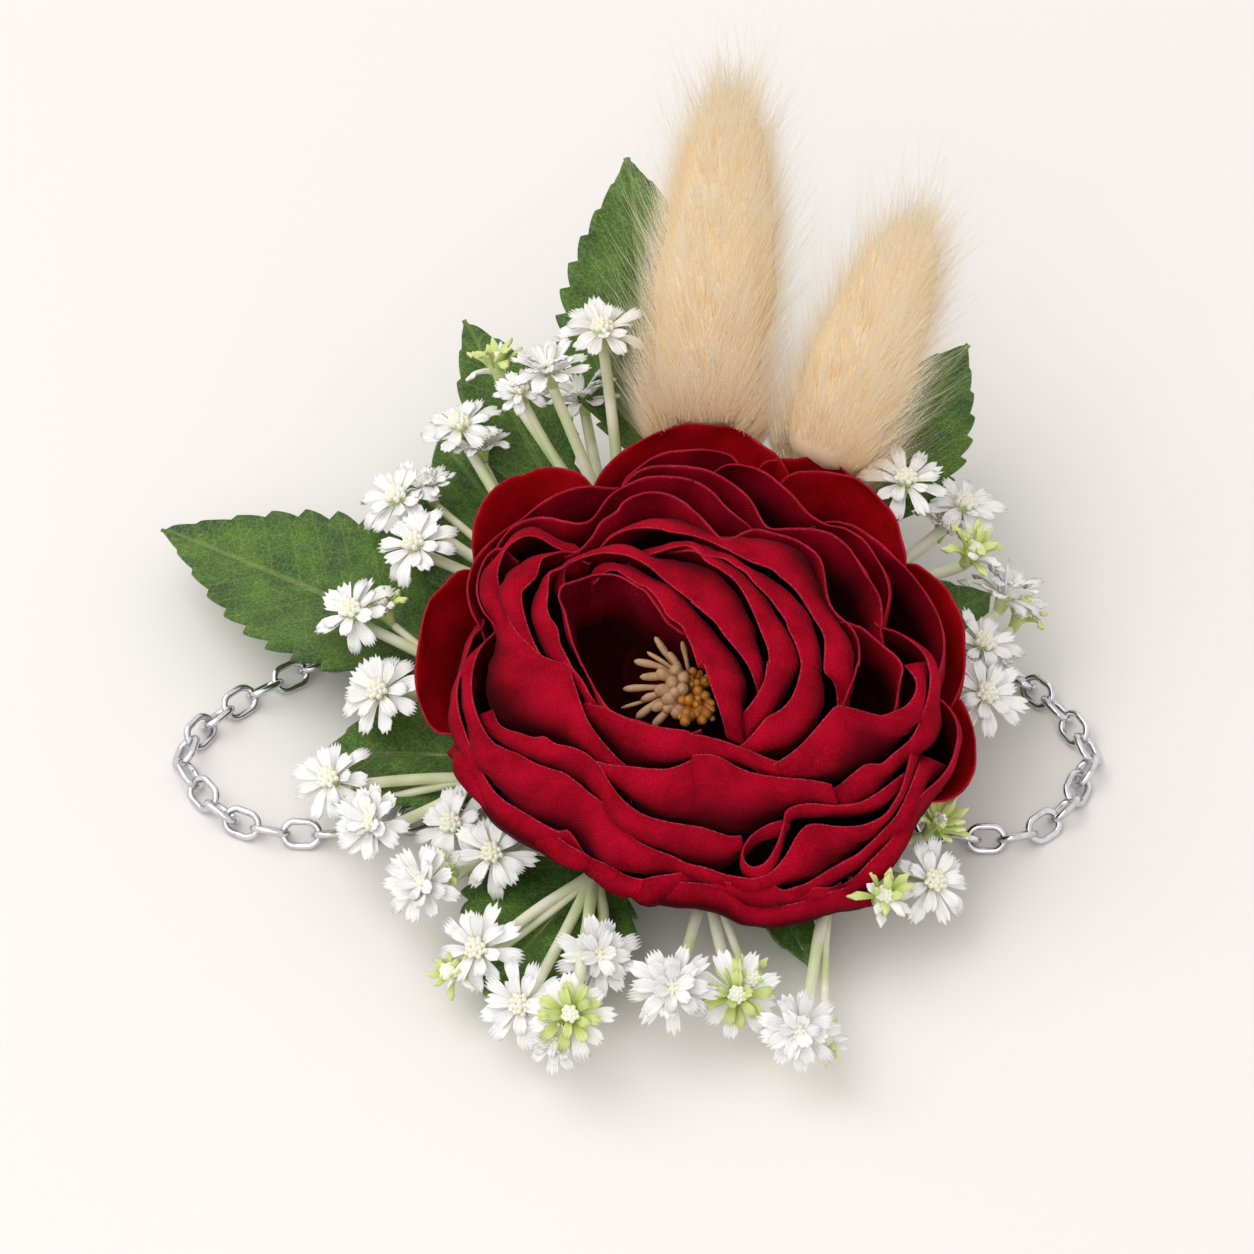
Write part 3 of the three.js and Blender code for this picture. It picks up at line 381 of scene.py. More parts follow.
# Each petal: its name and face, how deep it runs, how far its edge lies above the flower's dome, how far
# its two ends dip, its foot, and how far it leans out below its edge, along the edge (below 0 it flares).
# Then its edge.
PETALS = """
outer_back_left smooth 6 -1.5 2 2 8 -2.2 | U 372,800 376,700 385,600 405,540 440,470 500,400 580,350 650,335
720,305 790,298 860,305 920,320 975,345 1040,380;
outer_back smooth 6 -1.2 2 2 8 -2.2 | U 960,420 1000,375 1080,290 1150,225 1240,170 1330,125 1420,90 1500,72 R
60,75 130,82 200,85 260,105 330,150 400,195 450,225 500,262 560,310;
outer_back_right smooth 6 -1.8 2 2 8 -2 | R 330,300 365,275 420,262 490,252 560,253 640,243 700,255 760,280
830,335 900,400;
outer_right_back smooth 6 -1.2 2 2 8 -2 | R 440,400 480,350 530,330 600,318 700,320 780,335 850,350 900,380
960,430 1020,490 1055,530 1085,590 1100,650 1120,720 1135,765 1150,850;
outer_right smooth 6 -1.5 2 2 8 -2 | R 1080,760 1135,780 1200,815 1260,860 1320,910 1360,960 1390,1020 1420,1080
1435,1150 1438,1250 1436,1350 Q 1415,130 1392,190 1365,240;
outer_right_low smooth 5 -2.2 2 2 8 -2 | Q 1350,230 1400,185 1440,250 1470,330 1485,400 1492,480 1490,560
1470,620 1440,670 1400,705 1340,735 1280,742 1190,748 1120,760;
outer_left smooth 6 -1.8 2 2 8 -2.2 | U 420,760 385,795 300,840 230,910 160,985 145,1020 120,1100 105,1180
90,1260 80,1340 L 78,80 85,150 100,220 125,280 150,330 200,378 260,385 330,400 400,440;
outer_front_left cloth 7 -1 2 2 8 1.2 1.5 | L 290,380 340,402 360,450 375,510 405,570 445,645 500,712 560,762
620,800 700,850 780,892 850,940 900,975 985,1015 1060,1040;
outer_front cloth 7 -1 2 2.5 8 1 1.6 1.6 1.2 | L 930,960 985,1010 1050,1050 1120,1088 1200,1130 1300,1150
1400,1155 1500,1160 Q 60,1165 130,1180 200,1210 260,1250 330,1275 430,1285 520,1275 620,1250 700,1220 780,1195
860,1160 925,1140;
second_back_left cloth 7 -.6 1 2 7 -1.5 | U 1140,372 1060,390 1000,395 900,410 800,450 720,500 640,570 560,620
500,665 450,710 400,770 365,850 352,930 358,1000 375,1060 405,1110 425,1170;
second_left cloth 8 -.5 2 2 7 .3 1.5 3 | U 420,1040 412,1105 385,1160 365,1230 345,1290 325,1359 L 303,130
300,200 312,280 330,340 350,400 372,450 400,510 440,600 490,680 550,735 640,790 740,850 830,893 870,885 910,920
950,980 985,1010;
second_back cloth 7 -.5 2 2 7 -1.2 | U 1120,420 1170,365 1250,300 1320,250 1400,220 1480,210 1560,207 R 80,208
160,220 225,242 300,290;
second_back_right cloth 7 -.2 3 3 7 -1 -1 -.5 | R 40,290 80,285 170,278 250,285 330,300 400,330 450,370 510,420
560,470 600,520 650,565 720,600 800,615 870,650 920,690 960,750 1000,820 1030,890 1043,960 1035,1020 1020,1085
1000,1150;
second_right cloth 7 -.4 2 2 7 -1 -.8 -.5 | R 600,560 660,570 720,575 800,590 870,610 930,650 1000,700 1060,760
1120,820 1180,890 1240,970 1290,1060 1320,1150 1328,1230 1320,1300 Q 1300,60 1265,130 1240,200;
second_right_low cloth 7 -.6 2 2 7 -.5 .5 2 | Q 1240,100 1262,155 1310,200 1360,260 1390,320 1398,370 1395,430
1370,520 1330,590 1270,650 1210,700 1180,740 1140,800 1110,850 1070,910 1020,970 960,1030 900,1090 870,1115
800,1150;
second_front_right cloth 7 -.4 1 2 7 4 | Q 440,1200 520,1190 610,1165 700,1110 800,1055 880,1010 950,945
1010,885 1070,820 1110,750 1150,660 1190,560 1230,460;
second_front cloth 7 -.6 2 2 7 4 | L 1180,1100 1260,1140 1330,1130 1450,1112 1540,1095 Q 60,1108 150,1150
250,1165 350,1168 440,1180 475,1200 540,1195 650,1188 735,1178 800,1130;
third_back_left cloth 8 0 2 2 6 -1.5 | U 600,735 545,720 490,730 450,770 420,830 405,890 402,950 415,1010
440,1060 475,1100 497,1130 500,1190;
third_front_left cloth 8 0 1 1.5 6 -1 .5 4 8 8 8 6 | U 500,1080 490,1125 475,1155 440,1200 410,1260 390,1320 L
380,70 375,140 385,220 410,300 445,370 490,430 560,468 620,490 700,535 790,568 860,590 920,632 990,692 1060,745
1110,810 1170,880 1240,942 1330,988 1420,1022 1500,1060 1568,1075 Q 90,1085 180,1112 270,1132 340,1138;
third_back cloth 8 0 1 2 6 -1.5 | U 1120,430 1160,372 1230,322 1310,296 1400,290 1480,292 R 0,297 80,310 160,345
230,390 290,440 330,490 360,550 390,600 430,622 500,620 580,618 650,622 710,635 770,665 830,720 870,780 910,850
960,920 1000,990 1015,1060 1020,1110 1040,1180;
third_right cloth 8 0 2 1.5 6 .5 2 4 | R 985,1060 1020,1110 1070,1150 1130,1190 1190,1240 1230,1290 1248,1350 Q
1255,80 1245,180 1210,290 1160,400 1110,450 1060,490 1000,540 920,545 860,585 800,630 740,660;
third_front_right cloth 8 0 1.5 1 6 6 6 4 2 | Q 90,1100 180,1112 260,1132 340,1138 430,1100 500,1020 550,930
600,870 660,855 760,868 880,865 960,840 1020,805 1060,750 1100,680 1130,580 1150,500 1165,430 1160,380;
fourth_back cloth 8 .1 1 2 5 -1.8 | U 470,760 480,720 540,650 600,600 660,575 730,560 800,565 860,580 930,592
990,580 1030,540 1070,480 1120,430 1200,385 1280,352 1370,345 1460,350 1540,370 R 0,362 50,382 120,430 180,500
240,550 300,580 370,612 430,640;
fourth_right cloth 8 0 2 2 5 -.8 -.6 -.5 | R 740,1050 780,1090 830,1115 900,1140 960,1190 1020,1240 1080,1290
1112,1345 Q 1100,100 1085,180 1070,260 1040,320;
fourth_front cloth 8 .1 1.5 1 5 6 9 10 9 | L 470,230 490,280 520,330 570,365 640,385 700,405 760,400 810,435
900,455 980,490 1045,550 1090,630 1140,700 1200,760 1290,815 1400,845 1500,862 Q 60,873 120,890 200,910 270,905;
front_right cloth 8 .1 1 1 5 10 10 8 4 3 | Q 330,580 420,550 500,505 560,460 620,400 680,330 730,270 760,243
800,242 860,255 930,275 1000,290 1060,270 1110,250 1150,215 1175,170 1182,120 1165,60 1130,5;
fifth_back cloth 8 .2 1 2 4 -1.6 -1.8 -1.6 -1 -.8 | U 850,735 900,722 950,695 1010,640 1050,580 1130,530
1170,480 1250,440 1340,428 1420,445 1500,490 R 0,508 60,560 130,640 175,678 230,665 290,635 350,622 430,640
520,665 600,705 660,750 690,800 705,870 715,950 735,1020 780,1080 830,1120 870,1180 885,1250 882,1340 Q 880,0
860,80 830,160 800,240 760,300;
fifth_left cloth 9 .2 1 2 4 1 5 8 9 9 9 | U 940,705 880,722 800,705 735,672 670,660 610,680 560,720 530,780
512,860 525,940 555,1050 600,1140 660,1210 740,1280 810,1312 880,1330 L 905,100 935,190 965,275 1000,345
1060,425 1130,500 1200,548 1260,575;
fifth_front cloth 8 .2 2 0 4 10 | L 900,470 1010,518 1100,545 1200,555 1300,567 1400,568 1480,542 1540,510 Q
0,500 60,492 120,495 180,520 250,560 330,590 430,608 560,620 640,628 738,650;
sixth_left cloth 9 .2 1 2 4 0 4 6 | U 930,715 850,738 750,775 735,800 715,870 680,910 640,950 640,1010 655,1080
680,1160 710,1230 745,1285 800,1330;
rolled_front cloth 5 .2 1 0 5 .4 | Q 1130,570 1070,620 1010,670 950,710 880,745 800,757 720,755 630,748 560,757
510,780 497,800 490,840 470,920 440,990 400,1050 350,1080 310,1075 280,1040 278,990 310,930 370,880 430,850
480,838;
bud_left cloth 9 .3 1 2 3 -.5 4 6 6 | U 985,775 965,768 930,765 890,790 850,830 790,850 778,900 775,960 770,1030
790,1090 825,1140 840,1220 880,1300 905,1350 L 950,100 990,170 1040,230;
bud_outer cloth 9 .2 2 2 4 -1 2 6 8 8 6 | U 960,760 1010,712 1060,680 1120,650 1190,628 1270,618 1350,622
1420,640 R 0,655 80,680 160,715 240,755 330,800 420,830 480,880 530,920 575,975 640,1080 700,1190 Q 700,50
745,88 778,140 793,225;
bud_third cloth 9 .2 2 2 3 1 5 8 8 8 8 8 | U 1350,675 1440,710 1540,740 R 60,760 120,770 180,780 240,820 290,850
330,900 410,980 470,1060 500,1105 510,1140 540,1200 570,1280 583,1350 Q 583,0 575,60 550,150 520,210 470,262
400,300 340,370 300,410 250,442 200,470;
bud_second cloth 9 .2 2 2 3 1 5 8 8 8 | U 1180,745 1230,735 1300,742 1360,740 1430,720 1500,712 R 40,740 80,790
150,830 230,890 280,960 330,1060 370,1160 405,1250 412,1340 Q 405,0 385,110 330,210 270,270 220,300;
bud_front cloth 9 0 1 .5 3 8 | L 960,200 1010,225 1060,240 1110,268 1200,310 1300,338 1400,357 1500,370 Q 0,385
70,396 150,415 210,435 250,450 330,480 400,510 450,525 520,530;
bud_first cloth 9 .2 2 2 2.5 1 4 8 10 10 8 | U 850,900 850,820 900,790 980,765 1060,750 1150,755 1220,775
1300,820 1380,890 1470,960 1540,1010 R 0,1000 60,1050 130,1110 180,1180 240,1250 300,1330 Q 340,90 368,140
375,180;
bud_heart_right cloth 10 .3 1.5 2 2 2 6 10 10 10 10 | U 1000,870 1050,835 1120,835 1180,870 1240,910 1290,930
1330,970 1370,1030 1400,1080 1470,1130 1490,1170 1520,1230 1540,1290 1560,1345 Q 60,0 90,80 120,170 150,250
180,320 200,380;
bud_heart_left heart 11 .1 1 1 2 2 .5 -.8 -.8 -.8 -.8 -.8 -.8 | U 1465,1150 1425,1120 1385,1095 1352,1045
1308,985 1275,945 1235,925 1180,888 1120,862 1050,858 1000,866 940,885 860,910 840,930 830,980 860,1050 880,1130
900,1210 930,1290 955,1350 L 945,10 985,90 1030,170 1070,230 1100,262 1180,300 1260,320 1350,352 1450,372 Q
0,375 60,350;
"""
DOME_TOP = 18.5
DOME_FALL = 0.0094
CLOTH = 0.19
EDGE_SPACING = 0.45
# Rows of points down each petal, which crowd towards its rim with a power above 1.
PETAL_ROWS, ROW_CROWDING = 20, 1.25
WALL_STEPS = 7
CLOSE_GAP = 0.3
END_TUCK = 0.25
END_SHARE = 0.16
DROPS = (1.0, 7)
FOLD, FINE_FOLD, BROAD_FOLD, FRAY = 0.4, 0.16, 1.5, 0.1
BUD_MIDDLE = (-3.5, 0.5)
# Each foot's reach, with its whorl in the solids and its height.
FEET = {8: (1, 2.6), 7: (2, 3.4), 6: (3, 4.2), 5: (4, 5.0), 4: (5, 5.6), 3: (6, 6.2), 2.5: (6, 6.6),
        2: (6, 7.0)}
PETAL_SIDES = {"cloth": (PETAL_FACE, PETAL_INSIDE), "smooth": (PETAL_SMOOTH, PETAL_SMOOTH),
               "heart": (PETAL_FACE, PETAL_HEART)}


class Petal:
    """A petal's row of the table, with its edge in the flower's frame."""

    def __init__(self, row):
        head, marks = row.split("|")
        self.name, self.face, *sizes = head.split()
        self.deep, self.lift, start, end, self.foot, *self.lean = map(float, sizes)
        self.middle = np.array(BUD_MIDDLE if self.name.startswith("bud") else (0, 0))
        self.soft = 0.35 if self.name.startswith("rolled") else 1.0
        pixels = []
        for mark in marks.split():
            if mark in QUARTERS:
                left, top = QUARTERS[mark]
            else:
                x, y = map(int, mark.split(","))
                pixels.append((left + x / ENLARGED, top + y / ENLARGED))
        self.edge = self.on_dome(pixels, start, end)

    def on_dome(self, pixels, start, end):
        """The petal's edge, where the camera sees it on the flower's dome, with its ends dipped."""
        line = smooth_line(pixels)
        lengths = lengths_along(line)
        count = int(round(lengths[-1] * MM_PER_PIXEL / EDGE_SPACING)) + 1
        line = points_at(np.linspace(0, lengths[-1], count), lengths, line)
        height = lambda reach: DOME_TOP - DOME_FALL * reach ** 2 + self.lift
        spots = np.array([seen_at_height(x, y, height) for x, y in line])
        share = np.linspace(0, 1, count)
        dip = start * (1 - smoothstep(0, END_SHARE, share)) ** 2
        dip += end * smoothstep(1 - END_SHARE, 1, share) ** 2
        spots[:, 2] -= dip
        spots[:, :2] -= unit(spots[:, :2]) * (END_TUCK * dip)[:, None]
        return spots

    def out(self):
        """The way out at each point of the edge: half away from the middle, half square to the edge."""
        away = unit(self.edge[:, :2] - self.middle)
        tangent = blur(np.gradient(self.edge[:, :2], axis=0), 5)
        square = unit(np.stack([-tangent[:, 1], tangent[:, 0]], 1))
        square *= np.sign((square * away).sum())
        return unit(blur(away + 0.9 * square, 4)), away

    def outward_gap(self, directions, petals):
        """How far outward the next petal's edge is from each point of the edge, in plan, and its height."""
        gaps, heights = np.full(len(self.edge), np.inf), np.zeros(len(self.edge))
        for line in (petal.edge for petal in petals if petal is not self):
            start, span = line[:-1], np.diff(line, axis=0)
            for index, (spot, way) in enumerate(zip(self.edge, directions)):
                cross = way[0] * span[:, 1] - way[1] * span[:, 0]
                cross = np.where(np.abs(cross) < 1e-9, 1e-9, cross)
                off = start[:, :2] - spot[:2]
                along = (off[:, 0] * span[:, 1] - off[:, 1] * span[:, 0]) / cross
                share = (off[:, 0] * way[1] - off[:, 1] * way[0]) / cross
                along = np.where((share >= 0) & (share <= 1) & (along > 0.5), along, np.inf)
                nearest = np.argmin(along)
                if along[nearest] < gaps[index]:
                    gaps[index] = along[nearest]
                    heights[index] = start[nearest, 2] + share[nearest] * span[nearest, 2]
        return gaps, heights

    def sections(self, petals):
        """Five lines of points along the petal, its edge, three down its wall and its foot, and its sides."""
        edge, foot, count = self.edge, self.foot, len(self.edge)
        out, away = self.out()
        lean = np.interp(np.linspace(0, 1, count), np.linspace(0, 1, len(self.lean)), self.lean)
        lean = blur(lean, 4)
        gap, next_height = self.outward_gap(out, petals)
        open_side = np.isinf(gap)
        drop = np.where(open_side, 0.5 * np.maximum(lean, 0) + 1.5, edge[:, 2] - next_height + 0.6)
        drop = blur(np.clip(drop, *DROPS), 6)[:, None]
        swell = np.maximum(np.minimum(gap - CLOSE_GAP, lean), 0)
        swell = blur(np.array([swell[max(0, i - 2):i + 3].min() for i in range(count)]), 4)[:, None]
        flare = np.minimum(lean, 0)[:, None]
        near, far = blur(edge, 1.4 * self.soft), blur(edge, 5 * self.soft)
        side = np.hstack([out, np.zeros((count, 1))])
        centre = np.array([*self.middle, 0.0])
        low = np.hstack([self.middle + blur(away, 5) * foot, np.full((count, 1), FEET[foot][1])])

        def drawn_in(spots, share, depth):
            return centre + (spots - centre) * [share, share, 1] - UP * depth

        full, wide = far + side * swell - UP * drop, far + side * 1.1 * flare
        bulged = [edge, near + side * 0.55 * swell - UP * 0.36 * drop, full,
                  drawn_in(full, 0.88, 0.5 * self.deep), low]
        flared = [edge, near + side * 0.6 * flare - UP * 0.2 * self.deep, wide - UP * 0.5 * self.deep,
                  drawn_in(wide, 0.84, self.deep), low]
        swap = smoothstep(-0.4, 0.4, lean)[:, None]
        return [swap * b + (1 - swap) * f for b, f in zip(bulged, flared)], side

    def build(self, petals):
        """The petal's cloth, with folds, a rim that frays, and a map of how close the next petal is."""
        lines, side = self.sections(petals)
        walls, close = [], []
        for wall in np.stack(lines, 1):
            wall = smooth_line(wall, WALL_STEPS)
            lengths = lengths_along(wall)
            wanted = np.linspace(0, 1, PETAL_ROWS) ** ROW_CROWDING * lengths[-1]
            close.append(wanted / lengths[2 * WALL_STEPS])
            walls.append(points_at(wanted, lengths, wall))
        walls, close = np.array(walls), np.array(close)
        seed = Vector((len(self.name) * 3.1, sum(map(ord, self.name)) * 0.37, 0))
        cross, down = lengths_along(self.edge), np.zeros(len(self.edge))
        points, uvs = [], []
        for row in range(PETAL_ROWS):
            spots = walls[:, row].copy()
            for column, (x, y) in enumerate(zip(cross, down)):
                push = FOLD * wave(x * 0.3, y * 0.05, 0, seed) + FINE_FOLD * wave(x * 0.5, y * 0.35, 9, seed)
                push *= min(1, 0.3 * y + 0.05)
                broad = BROAD_FOLD * max(0, wave(x * 0.15, y * 0.04, 5, seed) + 0.35)
                push += broad * math.sin(math.pi * min(1, close[column, row]))
                spots[column] += push * side[column]
            if row:
                down = down + np.linalg.norm(spots - last, axis=1)
            else:
                spots[:, 2] += [FRAY * wave(x * 3.7, 4, 2, seed) for x in cross]
            last = spots
            points.append(from_flower(spots))
            uvs.append(np.stack([cross, down], 1))
        front, back = PETAL_SIDES[self.face]
        normals = np.cross(np.gradient(self.edge, axis=0), walls[:, 4] - walls[:, 0])
        if (normals * side).sum() < 0:
            front, back = back, front
        piece = make_piece(f"petal_{self.name}", np.concatenate(points), grid_faces(PETAL_ROWS, len(cross)),
                           [front, back, PETAL_RIM], uvs=np.concatenate(uvs))
        # Petal faces darken by this map: painted shade near the next petal's rim.
        add_map(piece, "closeness", np.repeat(close.T.reshape(-1, 1), 2, 1))
        thicken(piece, CLOTH, inner=1, rim=2)
        hand_over(piece, f"petal_whorl_{FEET[self.foot][0]}")


def build_petal_cup():
    """The small cup of cloth that closes the bud below the stamens."""
    points, maps = [], []
    rows, columns, radius, foot = 7, 30, 4.4, 6.6
    for row in range(rows):
        reach = radius * row / (rows - 1) + 0.02
        for turn in turns(columns):
            x, y = BUD_MIDDLE[0] + reach * math.cos(turn), BUD_MIDDLE[1] + reach * math.sin(turn)
            points.append((x, y, foot + 0.09 * reach ** 2 + 0.15 * wave(x, y, 0)))
            maps.append((reach * turn, 7 + reach))
    cup = make_piece("petal_cup", from_flower(points), grid_faces(rows, columns, closed=True),
                     [PETAL_HEART], uvs=maps)
    thicken(cup, CLOTH)
    hand_over(cup)


petals = [Petal(row) for row in PETALS.split(";")[:-1]]
for petal in petals:
    petal.build(petals)
build_petal_cup()


# --- leaves
FLOWER_RADIUS = 30.8
KNOT_REACH = 10.3
LEAF_ROOT_HEIGHT = 4.25
STALK_ROOT_HEIGHT = 5.35
LEAF_FOLD = 0.12
TOOTH_DEPTH = 0.13
LEAF_THICKNESS = 0.35
LEAF_COLUMNS = 17
TOOTH_ROWS = 10
RIB_REACH = 0.82
LEAF_WAVE, RIB_GROOVE, MIDRIB_GROOVE = 0.5, 0.12, 0.25
RIB_PITCH = 3.6
RIB_SLANT = 0.75
# Leaves: heading, reach of the tip and width as shares of the flower's radius, rise, stalk's share,
# arch's share, teeth on each side.
LEAVES = {
    "leaf_left_large": (-61, 2.2, 0.76, 3, 0.3, 0.02, 12),
    "leaf_left_back": (-33, 1.7, 0.82, 8, 0.25, 0.02, 9),
    "leaf_back": (-6, 2.28, 0.66, 22, 0.4, 0.01, 12),
    "leaf_right_back": (31, 1.92, 0.52, 16, 0.45, 0.02, 10),
    "leaf_right": (54, 1.32, 0.6, 4, 0.35, 0.02, 7),
    "leaf_left": (-88, 1.34, 0.62, 0, 0.3, 0.01, 8),
    "leaf_front_left": (-146, 1.34, 0.68, 0, 0.25, 0.0, 9),
    "leaf_front": (157, 1.06, 0.2, 0, 0.4, 0.01, 4),
    "leaf_tip_back": (-25, 1.97, 0.4, 15, 0.5, 0.01, 7),
}


def leaf_material(deep, light, vein):
    """Printed cloth: patches, slanting ribs, a net of fine veins and a weave, in mm from the midrib."""
    shade = Shade("leaf", Sheen_Weight=0.1, Specular_IOR_Level=0.35)
    uv, across, along = shade.uv()
    side = shade.math("ABSOLUTE", across)
    patches = shade.noise(uv, 0.22, 5.0)
    midrib = shade.ramp(side, 0.15, 0.55, 1.0, 0.0)
    slant = shade.math("MULTIPLY_ADD", side, -RIB_SLANT, along)
    ribs = shade.ramp(shade.math("SINE", shade.times(slant, TURN / RIB_PITCH)), 0.88, 1.0)
    veins = shade.math("MAXIMUM", midrib, ribs)
    cells = shade.node("TexVoronoi", {"Vector": uv, "Scale": 1.6}, feature="DISTANCE_TO_EDGE")[0]
    net = shade.ramp(cells, 0.0, 0.09, 1.0, 0.0)
    dashes = shade.ramp(shade.noise(uv, 3.2, 4.0, 0.7), 0.52, 0.66, 0.0, 0.5)
    colour = shade.mix(shade.ramp(patches, 0.3, 0.7), deep, light)
    marks = ((dashes, shade.ramp(patches, 0.35, 0.65, 0.3, 1.0)), (midrib, 0.24), (veins, 0.1), (net, 0.26))
    for mark, share in marks:
        colour = shade.mix(shade.times(mark, share), colour, vein)
    weave = shade.times(*[shade.math("SINE", shade.times(way, 14.0)) for way in (across, along)])
    return shade.finish(colour, shade.ramp(patches, 0.2, 0.8, 0.48, 0.68),
                        [(veins, -0.5, 0.15), (weave, 0.2, 0.04), (net, -0.2, 0.05)])


def stalk_material(name, pale, green):
    shade = Shade(name)
    place = shade.place()
    spots, patches = shade.noise(place, 450.0, 4.0), shade.noise(place, 140.0, 2.0)
    colour = shade.mix(shade.ramp(patches, 0.35, 0.65), green, pale)
    colour = shade.mix(shade.ramp(spots, 0.5, 0.7, 0.0, 0.35), colour, (226, 228, 186))
    return shade.finish(colour, shade.ramp(spots, 0.2, 0.8, 0.42, 0.62), [(spots, 0.3, 0.15)])


LEAF = leaf_material((36, 74, 18), (80, 118, 38), (158, 178, 100))
LEAF_STALK = stalk_material("leaf_stalk", (120, 148, 84), (74, 106, 48))


def build_leaf(name, heading, tip, width, rise, stalk, arch, teeth):
    seed = Vector((sum(map(ord, name)) * 0.21, 3, 1))
    climb = math.radians(rise)
    length = (tip * FLOWER_RADIUS - KNOT_REACH) / math.cos(climb)
    stalk_length = length * stalk
    blade = length - stalk_length
    half = width * FLOWER_RADIUS / 2
    root = on_heading(heading, KNOT_REACH, LEAF_ROOT_HEIGHT - 0.3)
    forward = on_heading(heading, 1, 0) * math.cos(climb) + UP * math.sin(climb)
    side = on_heading(heading - 90, 1, 0)
    up = np.cross(forward, side)
    arched = lambda x: length * arch * math.sin(math.pi * x / length)
    rows = teeth * TOOTH_ROWS + 1
    points, maps = [], []
    for along in np.linspace(0, 1, rows):
        x = stalk_length + blade * along
        tooth = 1 - TOOTH_DEPTH * (1 - along * teeth % 1) ** 1.4 * (1 if along < 0.97 else 0.4)
        reach = max(0.25, 1.02 * half * tooth * max(0.0, math.sin(math.pi * along ** 0.8)))
        for share in np.linspace(-1, 1, LEAF_COLUMNS):
            off = share * reach
            rib = max(0, math.cos((along * blade - abs(off) * RIB_SLANT) * TURN / RIB_PITCH))
            lift = abs(off) * LEAF_FOLD + arched(x) - RIB_GROOVE * rib * (1 - abs(share)) ** 0.4
            lift += LEAF_WAVE * share ** 2 * wave(x * 0.12, share * 0.8, 0, seed)
            lift -= MIDRIB_GROOVE * math.exp(-(off / 0.5) ** 2)
            x_here = x + 0.066 * abs(share) ** 3 * reach
            points.append(root + forward * x_here + side * off + up * lift)
            maps.append((off, along * blade))
    piece = make_piece(f"{name}_blade", points, grid_faces(rows, LEAF_COLUMNS), [LEAF], uvs=maps)
    thicken(piece, LEAF_THICKNESS, -1.0)
    hand_over(piece, name)
    stem = Build()
    xs = np.linspace(0, stalk_length + blade * RIB_REACH, 24)
    thick, drop = (0.42, 0.12) if rise else (0.3, -0.1)
    line = [root + forward * x + up * (arched(x) - drop) for x in xs]
    stem.tube(line, np.interp(xs, [0, stalk_length, xs[-1]], [thick, thick * 0.85, 0.12]), 0)
    hand_over(stem.piece(f"{name}_rib", [LEAF_STALK]))


for name, leaf in LEAVES.items():
    build_leaf(name, *leaf)


# --- sprays of small white flowers
# Each spray: its name; the heading of its fork, with its reach and height as shares of the flower's radius;
# the same for each head, with its pixel in the photograph and its kind; and the smaller heads beside a
# head, with that head's number, the pixel and the kind.
SPRAYS = """
back_left / -19 .8 .36 / -13 1.5 .9 602 324 open, -18 1.41 .56 588 378 side, -25 1.3 .87 548 365 side,
-29 1.6 .69 500 352 green / 2 518 384 open;
left_back / -40 .8 .32 / -35 1.56 .62 458 420 open, -45 1.52 .52 394 496 open, -52 1.24 .5 412 540 open
/ 1 424 482 side, 0 478 438 side;
left / -72 .8 .26 / -66 1.38 .46 350 610 open, -79 1.2 .38 380 697 open / 0 380 602 green;
left_front / -103 .75 .24 / -96 1.36 .31 327 777 open, -109 1.25 .34 368 822 side / 0 346 792 green;
front_left / -125 .65 .22 / -116 1 .27 450 822 open, -133 .95 .28 491 852 open, -125 1.22 .3 420 882 side
/ 2 442 868 green;
front_low / -151 .7 .24 / -142 1.28 .3 475 948 open, -153 1.4 .28 520 1005 open, -163 1.51 .36 570 1014 lime,
-165 1.08 .28 600 956 side / 0 448 972 green, 2 556 1042 side;
front / 176 .6 .24 / -177 1.24 .29 672 988 side, 171 1.22 .27 737 995 lime / 1 752 978 green;
front_right / 139 .7 .22 / 163 1.44 .28 800 1030 side, 144 1.07 .31 885 895 green, 129 1.12 .27 936 880 open,
116 .98 .33 940 820 green / 0 824 1040 green;
right_back / 46 .8 .36 / 44 1.2 .7 906 475 open, 47 1.42 .52 966 500 open, 58 1.23 .52 976 548 green
/ 1 948 516 side;
right / 76 .75 .3 / 62 1.34 .39 1008 590 side, 71 1.13 .39 986 640 open, 86 1.11 .41 988 692 open
/ 0 1026 606 green, 1 1000 664 side;
"""
# The rings of petals of each kind of head: how many, their tilt, and their length and width as shares.
HEAD_RINGS = {
    "lime": [(9, 1.3, 1.0, 0.36), (9, 1.0, 0.84, 0.24), (5, 0.55, 0.7, 0.22)],
    "open": [(9, 1.32, 1.0, 0.33), (7, 0.98, 0.8, 0.3)],
    "side": [(9, 1.16, 1.0, 0.33), (8, 0.72, 0.94, 0.31), (6, 0.36, 0.84, 0.28)],
    "green": [(5, 1.0, 0.86, 0.22), (5, 0.66, 0.82, 0.22), (4, 0.32, 0.76, 0.2)],
}
HEAD_DEPTH = 3.0
HEAD_RADIUS = 5.15
HEAD_LUMPS, GOLDEN_ANGLE = 19, 2.4
SMALL_HEAD = 0.74
STALK_RADII = [0.68, 0.64, 0.56]
WHITE_THICKNESS, GREEN_THICKNESS = 0.24, 0.55
FLORET_LEAN = 1.1
PHOTO_SHIFT = 2.4
SIDE_SHIFT = 5.0
PETAL_GRID = (8, 9)


def blossom_material(name, base, tip, fade, spot):
    """A petal's material: one colour near the foot, another at the tip, with fine ribs along it."""
    shade = Shade(name)
    _, across, along = shade.uv()
    spots = shade.noise(shade.place(), 700.0)
    colour = shade.mix(shade.ramp(along, 0.0, fade), base, tip)
    colour = shade.mix(shade.ramp(spots, 0.5, 0.75, 0.0, 0.2), colour, spot)
    ribs = shade.math("SINE", shade.times(across, 16.0))
    return shade.finish(colour, shade.ramp(spots, 0.2, 0.8, 0.42, 0.6), [(ribs, 0.3, 0.06), (spots, 0.2, 0.08)])


